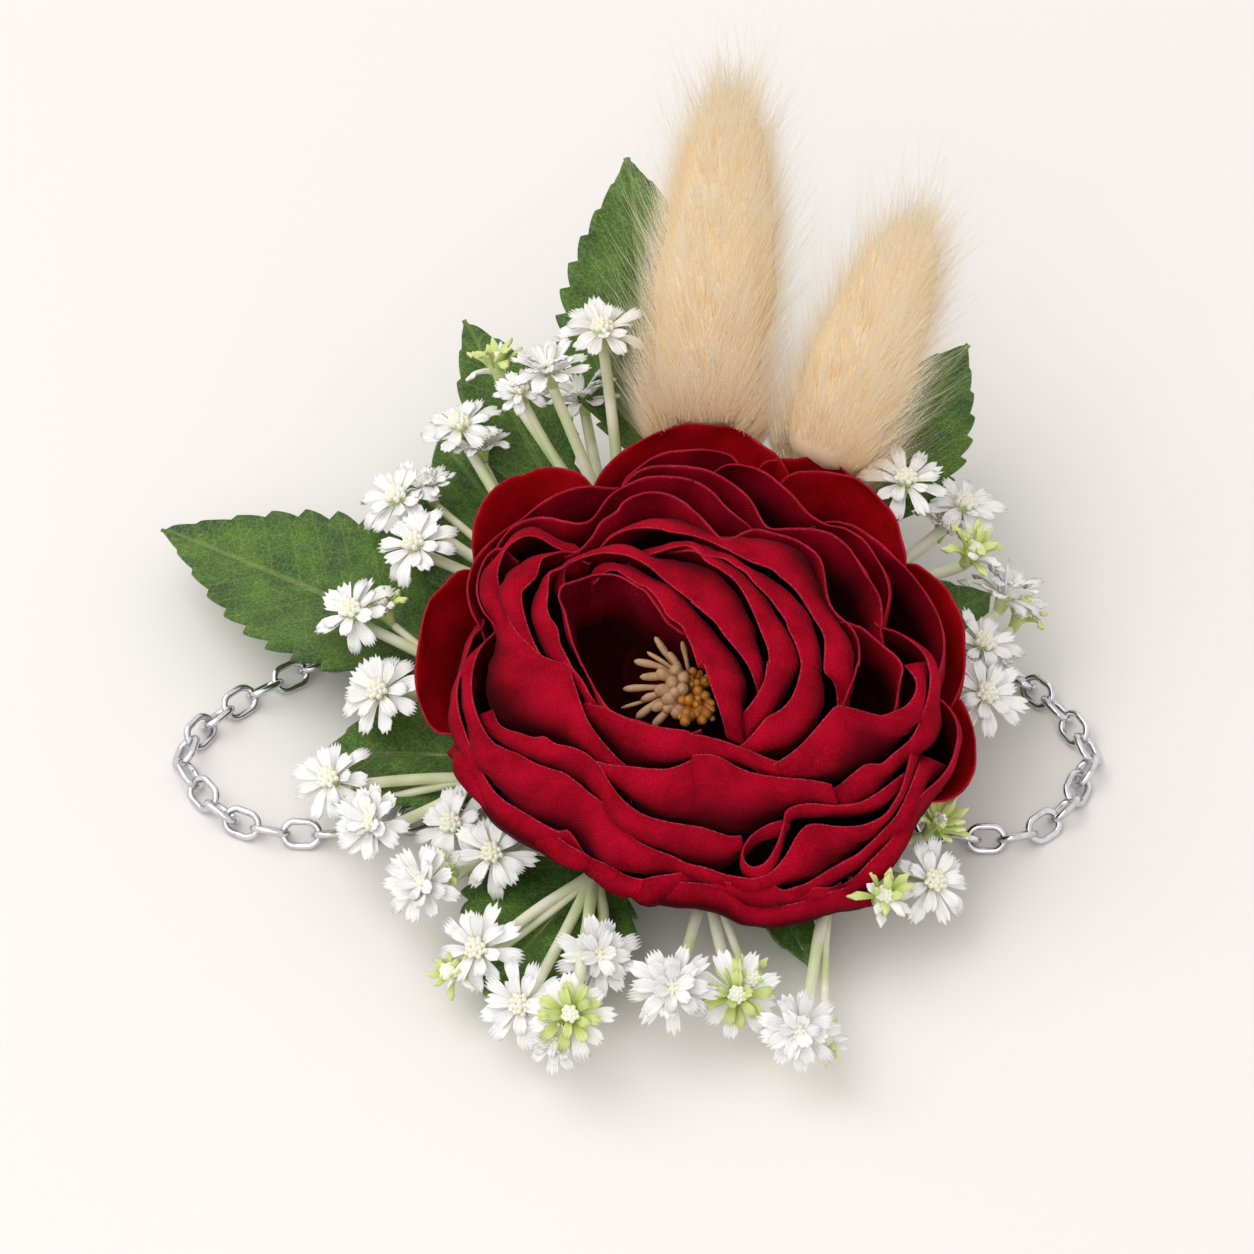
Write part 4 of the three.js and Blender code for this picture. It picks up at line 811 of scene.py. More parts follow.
HEAD_MATERIALS = [
    stalk_material("spray_stalk", (248, 246, 224), (204, 214, 164)),
    blossom_material("blossom", (252, 252, 238), (255, 255, 254), 0.4, (254, 252, 248)),
    blossom_material("blossom_green", (184, 208, 84), (226, 236, 160), 1.0, (198, 220, 124)),
    plain_material("blossom_heart", (253, 252, 240), (248, 247, 224), 900.0, 0.45, 0.6, 0.15),
    plain_material("blossom_calyx", (180, 200, 120), (212, 222, 160), 700.0, 0.45, 0.6, 0.12),
]
STALK, WHITE, GREEN, HEART, CALYX = range(len(HEAD_MATERIALS))


def shell_faces(rows, columns):
    """The faces of a thin closed shell whose back grid of points follows its front grid."""
    count = rows * columns
    front = [face[::-1] for face in grid_faces(rows, columns)]
    back = [tuple(count + corner for corner in face[::-1]) for face in front]
    border = [*range(columns), *[row * columns + columns - 1 for row in range(1, rows)],
              *range(count - 2, count - columns - 1, -1), *[row * columns for row in range(rows - 2, 0, -1)]]
    rim = [(before, here, count + here, count + before)
           for before, here in zip([border[-1], *border], border)]
    return front + back + rim


SHELL = shell_faces(*PETAL_GRID)


def blossom_petal(build, head, turn, tilt, length, width, thick, teeth, curl, kind):
    """One spoon-shaped petal with small teeth at its tip, which leaves the head's axis at a tilt."""
    foot, side, front, axis = head
    out, beside = swung(turn, side, front), swung(turn, front, -side)
    rows, columns = PETAL_GRID
    s = np.repeat(np.linspace(0, 1, rows) ** 0.85, columns)[:, None]
    c = np.tile(np.linspace(-1, 1, columns), rows)[:, None]
    bend = tilt + curl * s * s
    ahead = np.cos(bend) * axis + np.sin(bend) * out
    over = -np.sin(bend) * axis + np.cos(bend) * out
    half = width / 2 * (0.36 + 0.64 * smoothstep(0.1, 0.75, s)) * (1 - 0.2 * smoothstep(0.86, 1, s))
    scallop = np.cos(teeth * math.pi * c)
    tip = smoothstep(0.7, 1, s) * (0.07 * (scallop - 1) - 0.07 * c * c)
    reach = 0.5 + (length - 0.5) * s + length * tip
    lift = 0.06 * scallop * smoothstep(0, 0.4, s) + 0.16 * width * c * c * (1 - 0.6 * s)
    lift += 0.12 * np.sin(3 * s + 9 * turn) * c
    points = foot + ahead * reach + beside * (c * half) - over * lift
    depth = thick * (1 - 0.45 * s) * np.sqrt(np.clip(1 - 0.8 * c * c, 0.1, 1))
    build.add([*points, *(points + over * depth)], SHELL, kind, [*map(tuple, np.hstack([c, s]))] * 2)


def blossom(build, middle, axis, size, kind):
    """A head of petals round a lumpy heart, on a small green cup."""
    side = unit(np.cross(axis, [0.31, 0.87, 0.22]))
    front = np.cross(axis, side)
    foot = middle - axis * HEAD_DEPTH / 2
    turn = random.uniform(0, TURN)
    white = kind != "green"
    for ring, (count, tilt, share, wide) in enumerate(HEAD_RINGS[kind]):
        turn += math.pi / count + random.uniform(-0.2, 0.2)
        for angle in turns(count):
            blossom_petal(
                build, (foot, side, front, axis), turn + angle + random.uniform(-0.15, 0.15),
                tilt + random.uniform(-0.16, 0.16), size * share * random.uniform(0.88, 1.08),
                size * wide * random.uniform(0.88, 1.12), WHITE_THICKNESS if white else GREEN_THICKNESS,
                random.choice([2, 3, 3, 4]) if white else 1, random.uniform(0.0, 0.4),
                GREEN if kind == "lime" and ring or not white and random.random() > 0.25 else WHITE)
    dome = 1.2 if kind in ("open", "side") else 0.9
    for index in range(HEAD_LUMPS):
        angle, reach = index * GOLDEN_ANGLE, dome * math.sqrt(index / HEAD_LUMPS)
        across = reach * swung(angle, side, front)
        spot = foot + axis * (1.8 - 0.32 * reach ** 2) + across
        way = unit(axis + 0.5 * across)
        build.tube([spot - way * 0.5, spot, spot + way * 0.22, spot + way * 0.34],
                   [0.3, 0.33, 0.24, 0.06], HEART, 7)
    build.tube([foot + axis * rise for rise in (-1.7, -0.9, 0, 1.2, 1.6)], [0.55, 0.66, 0.95, 0.9, 0.4],
               CALYX, 10)


def toward_pixel(spot, x, y, most):
    """The spot, moved across the photograph's view towards a pixel, by no more than a distance."""
    point, ray = pixel_ray(x, y)
    shift = point - spot
    shift = shift - ray * (shift @ ray)
    return spot + shift * min(1, most / max(np.linalg.norm(shift), 1e-6))


def read_rows(text):
    """Rows of numbers, some of which end with a word."""
    return [[word if word.isalpha() else float(word) for word in row.split()] for row in text.split(",")]


def build_spray(row):
    name, fork, heads, beside = row.split("/")
    name = "spray_" + name.strip()
    (fork,) = read_rows(fork)
    place = lambda heading, reach, height: on_heading(heading, reach * FLOWER_RADIUS, height * FLOWER_RADIUS)
    root = on_heading(fork[0], KNOT_REACH, STALK_ROOT_HEIGHT)
    fork = place(*fork)
    shown = [(toward_pixel(place(*spot), x, y, PHOTO_SHIFT), kind, 1.0)
             for *spot, x, y, kind in read_rows(heads)]
    for number, x, y, kind in read_rows(beside):
        spot = toward_pixel(shown[int(number)][0], x, y, SIDE_SHIFT) - TO_CAMERA * 1.2
        shown.append((spot, kind, SMALL_HEAD))
    build = Build()
    for middle, kind, scale in shown:
        outward = unit(middle - fork)
        axis = unit(outward + UP * FLORET_LEAN + TO_CAMERA * (0.9 if kind == "open" else 0))
        foot = middle - axis * HEAD_DEPTH / 2
        bow = unit(np.cross(outward, UP)) * random.uniform(-0.5, 0.5)
        belly = (fork + foot) / 2 + bow - UP * 0.5
        way = smooth_line([root, fork + bow * 0.3, belly, foot - axis * 1.4, foot], 7)
        radii = np.interp(np.linspace(0, 1, len(way)), [0, 0.6, 1], STALK_RADII)
        build.tube(way, scale * radii, STALK, 9)
        blossom(build, middle, axis, HEAD_RADIUS * scale * random.uniform(0.94, 1.06), kind)
    hand_over(build.piece(name + "_blossoms", HEAD_MATERIALS), name)


for row in SPRAYS.split(";")[:-1]:
    build_spray(row)


# --- bunny tails
# Each tail: the headings of its root and of its axis, its rise, and its stem, length and radius as shares.
TAILS = {"left": (-7, 6, 38, 0.74, 1.0, 1.0), "right": (20, 29, 38, 0.68, 0.8, 0.9)}
TAIL_LENGTH = 39.0
TAIL_RADIUS = 7.2
# Outlines of the tail and of its hairs' roots: shares of the radius and of the length.
TAIL_OUTLINE = [(0, 0), (0.42, 0.005), (0.82, 0.09), (0.97, 0.27), (1, 0.48), (0.88, 0.7), (0.62, 0.88),
                (0.3, 0.97), (0, 1)]
HAIR_OUTLINE = [(0.8, 0), (0.9, 0.05), (0.98, 0.14), (1.02, 0.3), (1, 0.5), (0.88, 0.7), (0.68, 0.86),
                (0.42, 0.95), (0.1, 1)]
CORE_SHARE = 0.88
HAIRS_FROM = 0.8
# The hairs of a full-sized tail, and the share of them that crowd at its foot.
STRANDS, FOOT_HAIRS = 12500, 0.16
STRAND_STEPS = 5
HAIR_LENGTHS = (3.4, 7.4)
HAIR_RADIUS, AWN_RADIUS = 0.034, 0.036
# The awns are the long hairs between the others: their share, and how much longer and curlier they are.
AWN_SHARE, AWN_LENGTH, AWN_CURL = 0.13, 1.95, 1.9
STRAW_RADIUS = 0.7
PETALS_REACH = 31.0


def fur_material():
    """Hair that is peach at its root and pale at its tip, and pinker near the tail's foot."""
    shade = Shade("fluff", Roughness=0.8, Sheen_Weight=0.5, Sheen_Tint=(255, 240, 214), Specular_IOR_Level=0.2)
    _, place, along = shade.uv()
    patches = shade.noise(shade.place(), 160.0)
    # The deeper peach at the roots is partly the hair's colour and partly painted shade deep in the fur.
    colour = shade.mix(shade.ramp(along, 0.0, 0.7), (255, 222, 164), (255, 248, 230))
    colour = shade.mix(shade.ramp(patches, 0.35, 0.7, 0.0, 0.35), colour, (255, 226, 180))
    return shade.finish(shade.mix(shade.ramp(place, 0.0, 0.3, 0.5, 0.0), colour, (240, 200, 172)))


def down_material():
    """The close down below the long hairs: fine streaks along the tail, pinker near its foot."""
    shade = Shade("fluff_core", Roughness=0.9, Sheen_Weight=0.5, Sheen_Tint=(255, 236, 206),
                  Specular_IOR_Level=0.1)
    uv, _, along = shade.uv()
    streaks, patches = shade.noise(uv, 9.0, 5.0, 0.7), shade.noise(uv, 1.1)
    colour = shade.mix(shade.ramp(streaks, 0.36, 0.62), (255, 218, 158), (255, 244, 214))
    colour = shade.mix(shade.ramp(patches, 0.35, 0.65, 0.0, 0.5), colour, (253, 222, 172))
    colour = shade.mix(shade.ramp(along, 0.0, 2.2, 0.5, 0.0), colour, (238, 198, 170))
    return shade.finish(colour, None, [(streaks, 0.5, 0.4)])


FUR = fur_material()
FUR_CORE = down_material()
DRIED = plain_material("dried_stem", (196, 178, 128), (214, 200, 150), 400.0, 0.6, 0.8, 0.1)


def build_fur(name, base, axis, side, front, length, width, share):
    """The tail's hairs where petals leave room, each a thin tapered tube that bends towards the tail's tip."""
    draw = np.random.default_rng(sum(map(ord, name)))
    shares = smooth_line(HAIR_OUTLINE)
    count = int(STRANDS * share)
    s = draw.random(count)
    s = np.where(draw.random(count) > 1 - FOOT_HAIRS, FOOT_HAIRS * s, s)
    turn = draw.uniform(0, TURN, count)[:, None]
    reach = np.interp(s, shares[:, 1], shares[:, 0])[:, None] * width
    s = s[:, None]
    out, around = swung(turn, side, front), swung(turn, front, -side)
    awn = draw.random((count, 1)) < AWN_SHARE
    size = draw.uniform(*HAIR_LENGTHS, (count, 1)) * np.where(awn, AWN_LENGTH, 1) * (1 - 0.1 * s)
    open_out = 0.8 * (1 - s) ** 0.7 + 0.14 + draw.normal(0, 0.1, (count, 1)) + np.where(awn, 0.22, 0)
    sway = draw.normal(0, 0.26, (count, 1))
    curl = draw.normal(0, 0.34, (count, 1)) * np.where(awn, AWN_CURL, 1)
    first = unit(axis + out * open_out + around * sway)
    last = unit(axis + out * (open_out * 0.42) + around * (sway + curl))
    spot = base + axis * (-4.8 + s * (length + 1.0)) + out * reach * HAIRS_FROM
    x, y, height = ((spot - FLOWER_FOOT) @ FLOWER_WAYS.T).T
    plan = np.hypot(x, y)
    clear = (plan > PETALS_REACH) | (height > DOME_TOP - DOME_FALL * plan ** 2 + 0.8)
    spot, out, around, first, last, size, awn, s = (
        values[clear] for values in (spot, out, around, first, last, size, awn, s))
    points, maps = [], []
    for step in range(STRAND_STEPS + 1):
        along = step / STRAND_STEPS
        radius = np.where(awn, AWN_RADIUS, HAIR_RADIUS) * (1 - 0.85 * along)
        for across, outward in ((1.1, 0), (-1.1, 0), (0, 0.5)):
            points.append(spot + radius * (across * around + outward * out))
            maps.append(np.hstack([s, np.full_like(s, along)]))
        spot = spot + unit(first * (1 - along) + last * along) * size / STRAND_STEPS
    one = np.array(grid_faces(STRAND_STEPS + 1, 3, closed=True))
    faces = (one + len(points) * np.arange(len(s))[:, None, None]).reshape(-1, 4).tolist()
    piece = make_piece(f"tail_fluff_{name}", np.stack(points, 1).reshape(-1, 3), faces, [FUR],
                       uvs=np.stack(maps, 1).reshape(-1, 2))
    piece.visible_shadow = False
    hand_over(piece)


def build_tail(name, root_heading, heading, rise, stem_share, length_share, radius_share):
    root = on_heading(root_heading, KNOT_REACH + 0.75, STALK_ROOT_HEIGHT)
    climb = math.radians(rise)
    axis = unit(on_heading(heading, 1, 0) * math.cos(climb) + UP * math.sin(climb))
    side = unit(np.cross(axis, UP))
    front = np.cross(axis, side)
    stem_length = stem_share * TAIL_LENGTH
    stem = Build()
    stem.tube([root + axis * x for x in np.linspace(0, stem_length + 3, 12)], STRAW_RADIUS, 0)
    hand_over(stem.piece(f"tail_straw_{name}", [DRIED]), f"tail_stem_{name}")
    length = length_share * TAIL_LENGTH
    width = radius_share * TAIL_RADIUS
    base = root + axis * (stem_length + 0.3)
    shares = smooth_line(TAIL_OUTLINE)
    rows, columns = 30, 28
    points, maps = [], []
    for s in np.linspace(0, 1, rows):
        reach = np.interp(s, shares[:, 1], shares[:, 0]) * width * CORE_SHARE
        for turn in turns(columns):
            radius = max(0.05, reach * (1 + 0.1 * wave(math.cos(turn) * 2, math.sin(turn) * 2, s * 6)))
            points.append(base + axis * (s * (length - 1.4) - 1) + swung(turn, side, front) * radius)
            maps.append((1.3 * turn, 0.2 * s * length))
    faces = grid_faces(rows, columns, closed=True) + end_faces(rows, columns)
    core = make_piece(f"tail_core_{name}", points, faces, [FUR_CORE], uvs=maps)
    hand_over(core, f"tail_head_{name}")
    build_fur(name, base, axis, side, front, length, width * 1.06, length_share * radius_share)


for name, tail in TAILS.items():
    build_tail(name, *tail)


# --- chain
LINK_LENGTH, LINK_WIDTH, WIRE = 4.8, 3.55, 0.41
LINK_HALF = LINK_LENGTH / 2 - WIRE
LINK_SIDE = LINK_WIDTH / 2 - WIRE
HINGE_SLACK, FUSE_DEPTH, FLOOR_CLEARANCE = 0.4, 0.1, 0.03
BACK_REACH, FRONT_REACH = 27.0, 8.8
EYELET_CENTRE = 14.8 + LINK_SIDE
RING_RADIUS = 2.5 - WIRE
TWIST_LINKS = 3
ROUTE_STEPS = 150
# Each side's route: its sign, its reach, its corners as shares, and the first link of each run.
ROUTES = {
    "left": (-1, 56.4, [
        (0.31, 0), (0.42, -0.2), (0.53, -0.6), (0.66, -0.88), (0.8, -0.9), (0.9, -0.68), (0.975, -0.1),
        (1, 0.12), (0.975, 0.25), (0.9, 0.42), (0.76, 0.62), (0.58, 0.81), (0.36, 0.94), (0.16, 0.99),
        (0, 1), (-0.1, 1)], [0, 6, 11, 16, 21, 27, 33]),
    "right": (1, 43.6, [
        (0.4, 0), (0.48, -0.3), (0.6, -0.8), (0.72, -1), (0.85, -0.9), (0.94, -0.45), (0.985, 0.03),
        (1, 0.14), (0.975, 0.25), (0.89, 0.46), (0.76, 0.64), (0.58, 0.79), (0.38, 0.89), (0.18, 0.93)],
        [0, 5, 10, 15, 19]),
}


def steel_material():
    shade = Shade("bright_steel", Metallic=1.0)
    spots = shade.noise(shade.place(), 900.0)
    colour = shade.mix(shade.ramp(spots, 0.3, 0.7), (196, 196, 201), (220, 220, 224))
    return shade.finish(colour, shade.ramp(spots, 0.25, 0.75, 0.1, 0.18), [(spots, 0.02, 0.01)])


STEEL = steel_material()


def link_places(side, reach, shares, first_links):
    """Each link's middle, heading and roll. The links twist near both ends, and lean in turn between them."""
    points = [(side * x * reach, y * (FRONT_REACH if y < 0 else BACK_REACH)) for x, y in shares]
    points[0] = (side * EYELET_CENTRE, 0.0)
    line = smooth_line(points, ROUTE_STEPS, 0.5)
    lengths = lengths_along(line)
    tight = 2 * LINK_HALF - 2 * WIRE * math.cos(math.pi / 5) + FUSE_DEPTH
    loose = 2 * LINK_HALF - 2 * WIRE - HINGE_SLACK
    along = LINK_SIDE - 2 * WIRE - HINGE_SLACK + LINK_HALF
    rest = LINK_SIDE * math.sin(math.pi / 4) + WIRE + FLOOR_CLEARANCE
    stand = LINK_SIDE + WIRE + FLOOR_CLEARANCE
    total = first_links[-1]
    places = []
    for index in range(total):
        if index:
            along += loose if index in first_links else tight
        settled = min(1, (index + 1) / TWIST_LINKS, (total - index) / TWIST_LINKS)
        twist = math.pi / 4 * settled
        roll = twist - math.pi / 2 if index % 2 == 0 else twist
        own = LINK_SIDE * abs(math.sin(roll)) + WIRE + FLOOR_CLEARANCE
        height = max(own, stand + (rest - stand) * settled)
        spot, ahead = points_at([along, along + 0.05], lengths, line)
        heading = math.atan2(ahead[1] - spot[1], ahead[0] - spot[0])
        places.append((np.array([*spot, height]), heading, roll))
    return places


def ring_line(side, straight, count):
    """The middle line of a round or oval ring."""
    return np.array([(side * math.cos(turn) + math.copysign(straight, math.cos(turn)), side * math.sin(turn), 0)
                     for turn in turns(count)])


def add_ring(build, spots, wire, sides=10):
    """A closed ring of wire through spots."""
    count = len(spots)
    middle = spots.mean(0)
    normal = unit(np.cross(spots[0] - middle, spots[count // 4] - middle))
    out = unit(np.cross(np.roll(spots, -1, 0) - np.roll(spots, 1, 0), normal))
    points = rings(spots, wire, out, np.broadcast_to(normal, spots.shape), sides)
    faces = [tuple(corner % len(points) for corner in face)
             for face in grid_faces(count + 1, sides, closed=True)]
    build.add(points, faces, 0)


def placed(line, spot, heading, roll):
    """A line that is laid along a heading and rolled about it."""
    ahead = np.array([math.cos(heading), math.sin(heading), 0])
    across = np.array([-ahead[1], ahead[0], 0]) * math.cos(roll) + UP * math.sin(roll)
    return spot + line @ np.array([ahead, across, np.cross(ahead, across)])


def build_chains():
    line = ring_line(LINK_SIDE, LINK_HALF - LINK_SIDE, 28)
    end_headings = {}
    for label, (side, reach, shares, first_links) in ROUTES.items():
        places = link_places(side, reach, shares, first_links)
        end_headings[label] = places[-1][1]
        for run, (first, after) in enumerate(zip(first_links, first_links[1:]), 1):
            build = Build()
            for place in places[first:after]:
                add_ring(build, placed(line, *place), WIRE * 0.97)
            body = f"chain_{label}_{run}"
            hand_over(build.piece(f"links_{label}_{run}", [STEEL]), body, body)
    pivot = next(joint["pos_m"] for joint in frame["joints"] if joint["child"] == "jump_ring")
    ring = ring_line(RING_RADIUS, 0, 36) + [RING_RADIUS - WIRE - HINGE_SLACK / 2, 0, 0]
    build = Build()
    add_ring(build, placed(ring, np.array(pivot) / MM, end_headings["left"], 0), WIRE)
    hand_over(build.piece("ring_of_wire", [STEEL]), "jump_ring", "jump_ring")


build_chains()
for name in ("clasp_body", "clasp_lever", "clasp_pin", "base_plate"):
    materials = frame["nodes"][name].data.materials
    materials.clear()
    materials.append(STEEL)


# --- felt pad, bound knot and calyx
def felt_material():
    shade = Shade("felt", Roughness=0.95, Specular_IOR_Level=0.1)
    place = shade.place()
    fibres, tufts = shade.noise(place, 1400.0, 5.0, 0.75), shade.noise(place, 260.0, 4.0)
    colour = shade.mix(shade.ramp(fibres, 0.35, 0.65), (222, 213, 199), (244, 239, 230))
    colour = shade.mix(shade.ramp(tufts, 0.4, 0.7, 0.0, 0.3), colour, (214, 204, 188))
    return shade.finish(colour, None, [(fibres, 0.9, 0.3), (tufts, 0.5, 0.4)])


def tape_material():
    """Crepe tape: fine creases across its run and small lighter stretch marks."""
    shade = Shade("tape", Specular_IOR_Level=0.25)
    uv, _, _ = shade.uv()
    creases, marks = shade.noise(uv, 2.4, 5.0, 0.7), shade.noise(uv, 0.5)
    colour = shade.mix(shade.ramp(creases, 0.35, 0.65), (74, 104, 42), (112, 142, 70))
    colour = shade.mix(shade.ramp(marks, 0.45, 0.7, 0.0, 0.4), colour, (142, 164, 92))
    return shade.finish(colour, shade.ramp(creases, 0.2, 0.8, 0.62, 0.85), [(creases, 0.7, 0.3)])


def turned(name, profile, columns, material, shift, stretch=(1.0, 1.0), place=np.asarray):
    """A turned piece whose radii and heights are then moved by shift(turn, radius, height)."""
    points, maps, length = [], [], 0.0
    for row, (radius, height) in enumerate(profile):
        length += math.dist(profile[row - 1], profile[row]) if row else 0
        for turn in turns(columns):
            out, up = shift(turn, radius, height)
            points.append((out * math.cos(turn), out * math.sin(turn), up))
            maps.append((stretch[0] * turn * profile[len(profile) // 2][0], stretch[1] * length))
    faces = grid_faces(len(profile), columns, closed=True)
    return make_piece(name, place(points), faces, [material], uvs=maps)


def build_felt():
    radius, thick, edge = 14.5, 1.2, 0.2
    reaches = [0.05, *np.linspace(1, radius - 2 * edge, 16)]
    profile = [(r, 0.03) for r in reaches]
    profile += [(radius - edge, 0.07), (radius - 0.05, 0.3), (radius, thick / 2), (radius - 0.05, thick - 0.3),
                (radius - edge, thick - 0.1)]
    profile += [(r, thick - 0.04) for r in reaches[::-1]]

    def shift(turn, reach, height):
        x, y = reach * math.cos(turn), reach * math.sin(turn)
        lump = abs(wave(x * 0.9, y * 0.9, height * 2))
        rim = 0.1 * wave(math.cos(turn) * 9, math.sin(turn) * 9, height) if reach > 14 else 0
        return reach + rim, height + (0.03 if height < thick / 2 else -0.06) * lump

    hand_over(turned("felt_disc", profile, 120, felt_material(), shift), "felt_pad")


def build_knot(tape):
    """The stalks' knot, wound with overlapping turns of crepe tape."""
    low, high, radius, shoulder, pitch = 2.6, 6.6, 10.0, 0.6, 1.35
    profile = [(0.05, low), (5.0, low), (radius - shoulder, low + 0.03), (radius - 0.2, low + 0.22)]
    profile += [(radius, h) for h in np.linspace(low + shoulder, high - shoulder, 22)]
    profile += [(radius - 0.2, high - 0.22), (radius - shoulder, high - 0.03), (5.0, high), (0.05, high)]

    def shift(turn, reach, height):
        if reach < radius - shoulder:
            return reach, height
        step = (height / pitch + turn / TURN) % 1
        crease = wave(math.cos(turn) * 14, math.sin(turn) * 14, height * 1.5)
        return reach - 0.2 + 0.2 * step + 0.07 * crease + 0.06 * math.cos(turn * 26 + 2 * crease), height

    hand_over(turned("knot_tape", profile, 180, tape, shift, (1.0, 3.0)), "stem_knot")


def build_calyx(tape):
    """The flower's moulded green cup, with five blunt sepals under the outer petals."""
    profile = [(0.05, -3.0), (1.6, -2.6), (2.6, -1.5), (3.0, 0.0), (4.0, 0.35), (5.4, 0.8), (6.7, 1.15),
               (7.5, 1.4), (7.8, 1.65), (7.6, 1.9), (6.4, 1.95), (3.0, 2.0), (0.05, 2.0)]

    def shift(turn, reach, height):
        lobes = abs(math.cos(2.5 * turn)) ** 0.5
        rib = 0.05 * math.cos(30 * turn) * min(1, reach / 4)
        return reach * (1 + 0.16 * (lobes - 0.6) * (reach > 5)) + rib, height + 0.08 * (reach > 6) * (lobes - 1)

    hand_over(turned("calyx_cup", profile, 150, tape, shift, (0.6, 1.0), from_flower), "flower_calyx")


build_felt()
TAPE = tape_material()
build_knot(TAPE)
build_calyx(TAPE)


# --- stamens
# Pixels of the stamens' heart and of its lumps, then the thick short rods and the long thin ones: each
# tip's pixel, its height in the flower and its thickness.
STAMEN_HEART_PIXEL = (692, 688)
STAMEN_HEART_HEIGHT, STAMEN_LUMP_HEIGHT = 12.2, 13.2
STAMEN_RISE = 1.6
STAMEN_LUMPS = [(694, 687), (702, 694), (686, 698), (699, 705), (690, 712), (708, 708), (714, 715), (684, 720),
                (700, 718), (704, 680), (688, 678), (696, 672)]
STAMEN_BEANS = [
    (672, 666, 12.5, 1.5), (656, 672, 12.3, 1.3), (681, 675, 12.7, 1.4), (655, 691, 12.0, 1.5),
    (663, 702, 11.8, 1.6), (652, 710, 11.2, 1.2), (674, 717, 11.0, 1.5), (680, 688, 12.6, 1.5),
    (668, 681, 12.6, 1.5), (671, 695, 12.2, 1.4), (664, 712, 11.2, 1.1),
]
STAMEN_RODS = [
    (655, 637, 12.8, 0.8), (682, 641, 13.2, 0.7), (634, 661, 12.4, 0.9), (623, 689, 11.4, 0.8),
    (621, 708, 10.4, 0.4), (636, 718, 10.2, 0.9), (653, 726, 10.2, 0.9), (640, 677, 12.0, 0.9),
    (641, 700, 11.0, 0.8), (668, 652, 13.0, 0.8), (647, 652, 12.6, 0.5),
]


def stamen_material(name, foot, tip, spot):
    shade = Shade(name, Subsurface_Weight=0.3, Subsurface_Radius=[0.0012, 0.0008, 0.0004], Subsurface_Scale=0.5)
    _, _, along = shade.uv()
    spots = shade.noise(shade.place(), 900.0, 4.0)
    colour = shade.mix(shade.ramp(along, 0.4, 2.6), foot, tip)
    colour = shade.mix(shade.ramp(spots, 0.45, 0.7, 0.0, 0.45), colour, spot)
    return shade.finish(colour, shade.ramp(spots, 0.2, 0.8, 0.45, 0.7), [(spots, 0.5, 0.2)])


def build_stamens():
    build = Build()
    heart = seen_at_height(*STAMEN_HEART_PIXEL, STAMEN_HEART_HEIGHT)

    def lobe(foot, middle, tip, radii, kind, seed):
        line = smooth_line([foot, middle, tip], 9)
        share = np.linspace(0, 1, len(line))
        lumps = [1 + 0.22 * wave(seed * 1.7, s * 4, 1) for s in share]
        build.tube(from_flower(line), np.interp(share, [0, 0.5, 0.8, 0.94, 1], radii) * lumps, kind, 10)

    for index, (x, y) in enumerate(STAMEN_LUMPS * 4):
        x, y = x + random.uniform(-6, 6), y + random.uniform(-6, 6)
        spot = seen_at_height(x, y, STAMEN_LUMP_HEIGHT + random.uniform(-0.5, 0.5))
        out = unit(spot - heart + UP * 1.5)
        size = random.uniform(0.4, 0.62)
        radii = [size, size, size * 0.9, size * 0.5, 0.05]
        lobe(spot - out * 1.6, spot - out * 0.6, spot + out * 0.25, radii, 1, index)
    for rods, bend, seed in ((STAMEN_BEANS, 0.3, 90), (STAMEN_RODS, 0.9, 130)):
        for index, (x, y, height, thick) in enumerate(rods):
            tip = seen_at_height(x, y, height + STAMEN_RISE)
            foot = heart + unit(tip - heart) * 0.6 - UP * 0.6
            sway = np.array([random.uniform(-1, 1), random.uniform(-1, 1), 0]) * 0.5
            middle = (foot + tip) / 2 + UP * random.uniform(0.3, 1.0) * bend + sway * bend
            radii = [thick / 2 * share for share in (0.55, 0.8, 1.08, 0.85, 0.25)]
            lobe(foot, middle, tip, radii, 0, index + seed)
    rod = stamen_material("stamen_rod", (124, 70, 32), (190, 152, 112), (146, 98, 58))
    lump = stamen_material("stamen_heart", (158, 86, 18), (204, 140, 44), (136, 72, 16))
    hand_over(build.piece("stamens", [rod, lump]), "stamen_cluster")


build_stamens()


# --- stage, lights and camera
FLOOR_SIZE = 3000.0
SENSOR_WIDTH = 36
LAMP_AIM = Vector((0, 0, 0.012))


def build_floor():
    shade = Shade("floor", Roughness=0.9, Specular_IOR_Level=0.1)
    material = shade.finish(shade.mix(shade.noise(shade.place(), 3.0, 2.0), (249, 246, 244), (252, 249, 247)))
    corners = [(x * FLOOR_SIZE, y * FLOOR_SIZE, 0) for x, y in ((-1, -1), (1, -1), (1, 1), (-1, 1))]
    make_piece("floor", corners, [(0, 1, 2, 3)], [material], smooth=False)


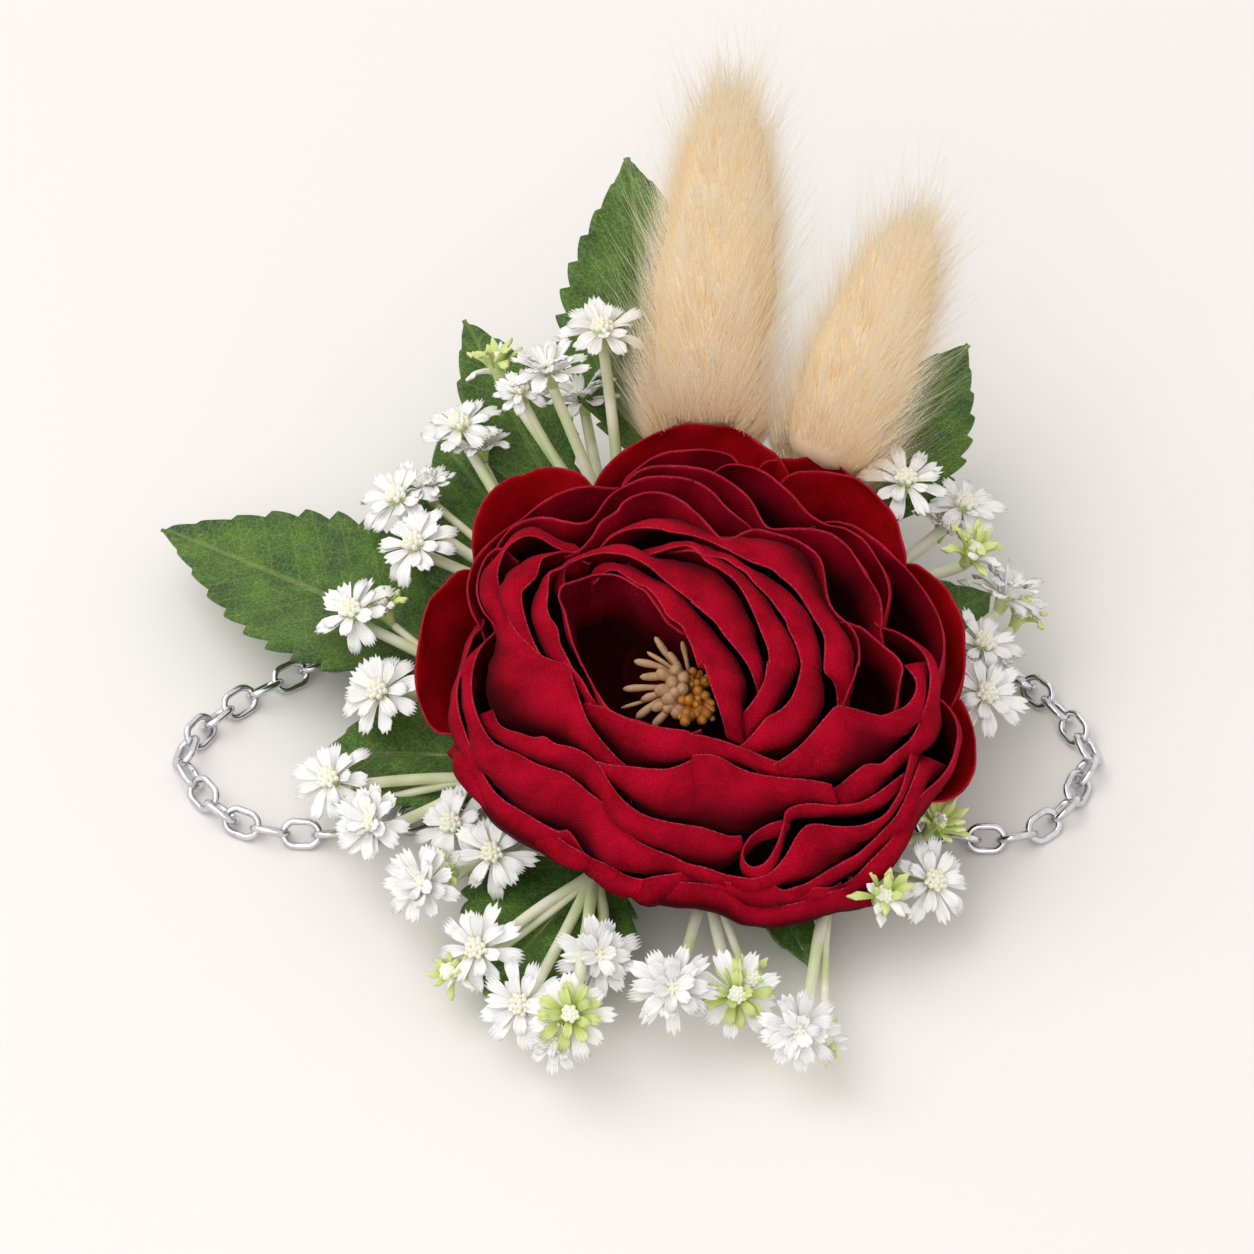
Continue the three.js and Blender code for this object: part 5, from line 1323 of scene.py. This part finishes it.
def add_holder(name, data, place, way):
    """A lamp or camera at a place, in metres, that looks along a way."""
    holder = bpy.data.objects.new(name, data)
    holder.location = place
    holder.rotation_mode = "QUATERNION"
    holder.rotation_quaternion = way.to_track_quat("-Z", "Y")
    bpy.context.scene.collection.objects.link(holder)
    return holder


def add_lamp(name, place, size, power, colour):
    lamp = bpy.data.lights.new(name, "AREA")
    lamp.shape = "DISK"
    lamp.size = size * MM
    lamp.energy = power
    lamp.color = colour
    place = Vector(place) * MM
    add_holder(name, lamp, place, LAMP_AIM - place)


def build_world(strength):
    """A pale surround, dimmer for the light that falls on the part than where it is seen or mirrored."""
    world = bpy.data.worlds.new("studio")
    world.use_nodes = True
    tree = world.node_tree
    background = tree.nodes["Background"]
    background.inputs["Color"].default_value = (1, 0.98, 0.96, 1)
    light = tree.nodes.new("ShaderNodeLightPath")
    seen = light.outputs["Is Camera Ray"]
    for name in ("Is Glossy Ray", "Is Transmission Ray"):
        either = tree.nodes.new("ShaderNodeMath")
        either.operation = "MAXIMUM"
        tree.links.new(seen, either.inputs[0])
        tree.links.new(light.outputs[name], either.inputs[1])
        seen = either.outputs[0]
    share = tree.nodes.new("ShaderNodeMapRange")
    share.inputs["To Min"].default_value = strength
    tree.links.new(seen, share.inputs["Value"])
    tree.links.new(share.outputs[0], background.inputs["Strength"])
    bpy.context.scene.world = world


def build_camera():
    camera = bpy.data.cameras.new("camera")
    camera.sensor_width = SENSOR_WIDTH
    camera.lens = SENSOR_WIDTH * (CAMERA_DISTANCE - SHARP_PLANE) / (PHOTO_SIZE * MM_PER_PIXEL)
    camera.clip_start = 0.1
    camera.clip_end = 20
    place = Vector(PICTURE_MIDDLE + TO_CAMERA * CAMERA_DISTANCE) * MM
    bpy.context.scene.camera = add_holder("camera", camera, place, Vector(-TO_CAMERA))


build_floor()
add_lamp("key", (-560, 150, 940), 1100, 4.0, (1, 0.985, 0.968))
add_lamp("fill", (-350, -750, 900), 1200, 3.1, (1, 0.99, 0.98))
build_world(0.67)
build_camera()
bpy.context.scene.view_settings.view_transform = "Standard"
